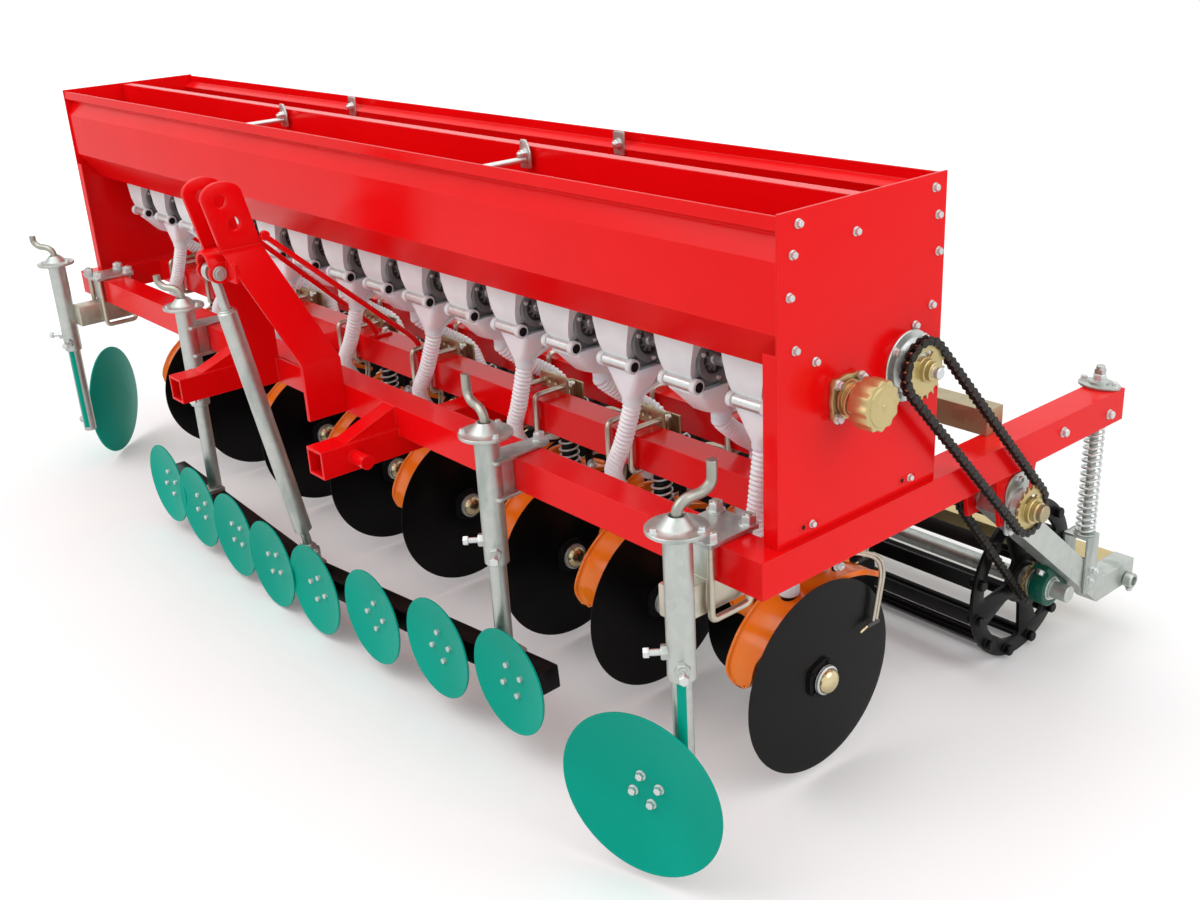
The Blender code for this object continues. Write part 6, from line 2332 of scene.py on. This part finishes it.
        piece.add(Coat.GOLD_ZINC, *self._sprocket(self.counter, self.inner_x, 0.0400, 18, 0.0200))
        piece.build(shop, FRAME_BODY, "zinc_plate", "counter_shaft")


@dataclass
class CageRoller:
    """The press roller: two windowed plates, twelve bars and a shaft."""

    y: float = ROLLER_AXIS[0]
    z: float = ROLLER_AXIS[1]
    radius: float = ROLLER_AXIS[1]
    plate_x: float = 1.160
    rim: float = 0.034
    spokes: int = 4
    bars: int = 12
    first_deg: float = 15.0
    bar_ring: float = 0.1495
    end_x: float = 1.176
    shaft_end: float = 1.266

    def build(self, shop: Workshop) -> None:
        """Builds the roller as one piece on its own body.

        Args:
            shop: where the finishes and the layout come from.
        """
        piece = Piece("press_roller")
        windows = [self._window(index) for index in range(self.spokes)]
        for side in (-1, 1):
            x = side * self.plate_x
            piece.add(Coat.BLACK, side_plate([circle((self.y, self.z), self.radius, 96), *windows],
                                             x - 0.004, x + 0.004, 0.001))
            piece.rod(Coat.BLACK, (x - 0.010, self.y, self.z), (x + 0.010, self.y, self.z), 0.036, 32,
                      0.003)
            piece.rod(Coat.ZINC, (side * (self.plate_x + 0.009), self.y, self.z),
                      (side * 1.191, self.y, self.z), 0.0265, 28)
        step = 2 * math.pi / self.bars
        for index in range(self.bars):
            angle = math.radians(self.first_deg) + step * index
            turn = Matrix.Translation((0, self.y, self.z)) @ Matrix.Rotation(angle, 4, "X")
            flat = box((-self.plate_x + 0.003, self.bar_ring - 0.0045, -0.0140),
                       (self.plate_x - 0.003, self.bar_ring + 0.0045, 0.0140), 0.002)
            rib = box((-self.plate_x + 0.003, self.bar_ring - 0.016, -0.0035),
                      (self.plate_x - 0.003, self.bar_ring, 0.0035), 0.0015)
            piece.add(Coat.BLACK, flat.moved(turn), rib.moved(turn))
            for side in (-1, 1):
                stud = round_bar((side * (self.plate_x - 0.014), self.bar_ring, 0),
                                 (side * self.end_x, self.bar_ring, 0), 0.0108, 20, 0.002)
                piece.add(Coat.BLACK, stud.moved(turn))
        piece.rod(Coat.ZINC, (-self.shaft_end, self.y, self.z), (self.shaft_end, self.y, self.z), 0.0165,
                  32)
        sprocket = toothed((self.y, self.z), 0.0350, 0.0420, 18)
        piece.add(Coat.GOLD_ZINC, side_plate([sprocket], 1.1834, 1.1886, 0.0006))
        piece.build(shop, ROLLER_BODY, "black_enamel", "cage_roller")

    def _window(self, index: int) -> list[Flat]:
        """One opening between two spokes.

        Args:
            index: its number.

        Returns:
            The outline.
        """
        middle = math.radians(self.first_deg + 360 * (index + 0.5) / self.spokes)
        half = math.pi / self.spokes
        inner, outer = 0.052, self.radius - self.rim
        outline = []
        for step in range(7):
            angle = middle + (half - 0.030 / outer) * (step / 3 - 1)
            outline.append(polar((self.y, self.z), outer, angle))
        for step in range(3):
            angle = middle - (half - 0.017 / inner) * (step - 1)
            outline.append(polar((self.y, self.z), inner, angle))
        return softened(outline, 0.014, 3)


@dataclass
class RollerArms:
    """The trailing arms, which stay, with bearings, spring rods, clevises and the cross bar."""

    rod_x: float = 1.242
    rod_y: float = 0.942
    rod_top: float = DECK + 0.040
    clevis_top: float = 0.256
    clevis_foot: float = 0.136
    arm_x: Flat = (1.214, 1.256)
    bearing_x: Flat = (1.199, 1.230)
    axle: Flat = ROLLER_AXIS
    arm_run: Point = (0, 0.7598, -0.6501)
    bearing_seat: float = 0.0285
    scraper: Flat = (1.092, 0.106)

    def build(self, shop: Workshop) -> None:
        """Builds what hangs on both arms.

        Args:
            shop: where the finishes and the layout come from.
        """
        shop.dress(Coat.ZINC, "roller_arm_left", "roller_arm_right")
        shop.dress(Coat.GOLD_ZINC, "arm_cross_bar")
        for side, hand in ((1, "right"), (-1, "left")):
            self._bearing(shop, side, hand)
            self._spring_rod(shop, side, hand)
            self._arm_end(shop, side, hand)

    def _bearing(self, shop: Workshop, side: int, hand: str) -> None:
        """A pillow block under the arm, with its insert and two bolts.

        Args:
            shop: where the finishes and the layout come from.
            side: 1 for the right end, -1 for the left.
            hand: the side's name.
        """
        y, z = self.axle
        run = Vector(self.arm_run)
        down = Vector((0, run.z, -run.y))
        piece = Piece(f"pillow_block_{hand}")
        axis = Vector((0, y, z))
        belly = [axis + run * (0.036 * math.cos(a)) + down * (0.036 * math.sin(a))
                 for a in arc(0.0, math.pi, 16)]
        top = axis - down * self.bearing_seat
        outline = [top + run * 0.048, top + run * 0.048 + down * 0.010, top + run * 0.034 + down * 0.012,
                   *belly, top - run * 0.034 + down * 0.012, top - run * 0.048 + down * 0.010,
                   top - run * 0.048]
        flat = [(point.y, point.z) for point in outline]
        hole = circle((y, z), 0.0240, 32)
        faces = (side * x for x in self.bearing_x)
        piece.add(Coat.DARK_GREEN, side_plate([flat, hole], *faces, 0.0025))
        out = side * self.bearing_x[1]
        insert = ((0.0172, -0.028), (0.0238, -0.028), (0.0238, -0.001), (0.0205, -0.001), (0.0205, 0.004),
                  (0.0172, 0.004))
        piece.put(Coat.BRIGHT_ZINC, ring_lathed(insert, 32), (out, y, z), (side, 0, 0))
        for reach in (-0.040, 0.040):
            place = top + run * reach + down * 0.010
            piece.bolt((side * (self.bearing_x[0] + 0.0155), place.y, place.z), tuple(down), 0.013)
        piece.build(shop, FRAME_BODY, "dark_green_enamel", f"roller_bearing_{hand}")

    def _spring_rod(self, shop: Workshop, side: int, hand: str) -> None:
        """The pressure spring between the rail and the clevis on the arm.

        Args:
            shop: where the finishes and the layout come from.
            side: 1 for the right end, -1 for the left.
            hand: the side's name.
        """
        x, y = side * self.rod_x, self.rod_y
        piece = Piece(f"pressure_spring_{hand}")
        piece.rod(Coat.ZINC, (x, y, self.clevis_top - 0.004), (x, y, self.rod_top), 0.0080, 20)
        piece.add(Coat.BRIGHT_ZINC, coil((x, y, self.clevis_top + 0.004), (x, y, FRAME_BOTTOM - 0.004),
                                         0.0165, 0.0026, 17.5))
        piece.rod(Coat.ZINC, (x, y, self.clevis_top), (x, y, self.clevis_top + 0.004), 0.0210, 28)
        oval = [(x + 0.040 * math.copysign(abs(math.cos(a)) ** 1.15, math.cos(a)), y + 0.028 * math.sin(a))
                for a in arc(0.0, 2 * math.pi, 48)[:-1]]
        piece.add(Coat.ZINC, top_plate([oval], DECK + 0.0003, DECK + 0.006, 0.0012))
        piece.add(Coat.ZINC, lathed(((0.0, 0.0), (0.020, 0.0), (0.0185, 0.005), (0.013, 0.0065),
                                     (0.0, 0.0065)), 28).along((x, y, DECK + 0.006)))
        piece.put(Coat.BRIGHT_ZINC, hex_head(0.022, 0.012), (x, y, DECK + 0.012), UP, 0.2)
        piece.block(Coat.ZINC, (x - 0.008, y - 0.008, DECK + 0.024), (x + 0.008, y + 0.008, DECK + 0.034),
                    0.002)
        for u in (-0.031, 0.031):
            piece.bolt((x + u, y, DECK + 0.006), UP, 0.011)
        near, far = self.arm_x[0] - 0.0053, self.arm_x[1] + 0.0053
        for edges in ((near, near + 0.005), (far - 0.005, far)):
            strap = softened(((y - 0.020, self.clevis_foot), (y + 0.020, self.clevis_foot),
                              (y + 0.020, self.clevis_top), (y - 0.020, self.clevis_top)), 0.008)
            piece.add(Coat.ZINC, side_plate([strap], side * edges[0], side * edges[1]))
        left, right = sorted((side * near, side * far))
        piece.block(Coat.ZINC, (left, y - 0.020, self.clevis_top - 0.005),
                    (right, y + 0.020, self.clevis_top), 0.001)
        for z, across in ((self.clevis_foot + 0.046, 0.013), (self.clevis_foot + 0.030, 0.011)):
            piece.nut((side * far, y + (0.004 if across > 0.012 else -0.008), z), (side, 0, 0), across, 0.004)
        piece.build(shop, FRAME_BODY, "zinc_plate", f"spring_rod_{hand}")

    def _arm_end(self, shop: Workshop, side: int, hand: str) -> None:
        """The scraper tube's end beyond the cross bar, with the bolt under it.

        Args:
            shop: where the finishes and the layout come from.
            side: 1 for the right end, -1 for the left.
            hand: the side's name.
        """
        piece = Piece(f"scraper_end_{hand}")
        y, z = self.scraper
        piece.add(Coat.ZINC, pipe((side * 1.2565, y, z), (side * 1.274, y, z), 0.0155, 0.0095, 28))
        piece.rod(Coat.BRIGHT_ZINC, (side * 1.2565, y, z), (side * 1.268, y, z), 0.0092, 20)
        piece.bolt((side * 1.2655, y, z - 0.0150), (0, 0, -1), 0.011)
        piece.build(shop, FRAME_BODY, "zinc_plate")


FRONT_DISCS = (1.154, 0.760, 0.490, 0.127, -0.178, -0.514, -0.870, -1.095)
REAR_DISCS = (0.990, 0.885, 0.625, 0.310, -0.025, -0.345, -0.690, -0.975)


def main() -> None:
    """Loads the frame and builds every sub-assembly in order."""
    logging.basicConfig(level=logging.INFO, format="%(message)s")
    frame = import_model()
    layout = Layout()
    shop = Workshop(layout, frame["nodes"])
    Studio().build(layout)
    shop.dress(Coat.OLIVE_ZINC, "rear_step")
    FrameWork().build(shop)
    Hopper().build(shop)
    MeterBank(FRONT_DISCS, REAR_DISCS).build(shop)
    ranks = (("front", FRONT_DISCS), ("rear", REAR_DISCS))
    for (name, discs), y, beam_back in zip(ranks, DISC_ROWS_Y, BEAM_BACKS_Y):
        OpenerRank(f"{name}_opener", f"opener_arms_{name}", discs, y, beam_back).build(shop)
    for row, (_, discs) in enumerate(ranks):
        for index, x in enumerate(discs):
            DiscBlade(2 * index + row + 1, x, DISC_ROWS_Y[row]).build(shop)
    gang = LevellingGang()
    gang.build(shop)
    for node, x, crank, grip in (("jack_inner_right", 0.690, 171.0, 0.068),
                                 ("jack_inner_left", -0.500, 211.0, 0.050)):
        foot = gang.bar_point(x).z + GANG_SEAT
        ScrewJack(node, x, -0.042, crank, grip, foot).build(shop)
    build_outer_jacks(shop)
    Mast().build(shop)
    TopBrace().build(shop, gang)
    Drive().build(shop)
    CageRoller().build(shop)
    RollerArms().build(shop)


def build_outer_jacks(shop: Workshop) -> None:
    """Builds both outer jacks and their plates.

    Args:
        shop: where the finishes and the layout come from.
    """
    table = (("right", 1, 1.190, -0.075, 78.0, 0.068, (1.145, -0.126, 0.160), 0.142, -74.0, -1),
             ("left", -1, -1.200, -0.088, 210.0, 0.050, (-1.320, 0.036, 0.158), 0.152, -134.8, 1))
    for hand, side, x, y, crank, grip, centre, radius, heading, seat_side in table:
        turn = math.radians(heading)
        facing = Vector((math.cos(turn), math.sin(turn), 0))
        outward = facing * seat_side
        depth = 0.020 if seat_side < 0 else 0.015
        seat = Vector(centre) - facing * depth + outward * 0.0003
        knee = None if seat_side < 0 else Vector((x + side * 0.025, y - 0.012, centre[2]))
        OuterJack(f"jack_outer_{hand}", x, y, crank, grip, centre[2] - 0.026, side=side,
                  seat=seat, outward=outward, knee=knee).build(shop)
        SidePlate(f"side_disc_{hand}", centre, radius, heading).build(shop)


if __name__ == "__main__":
    main()
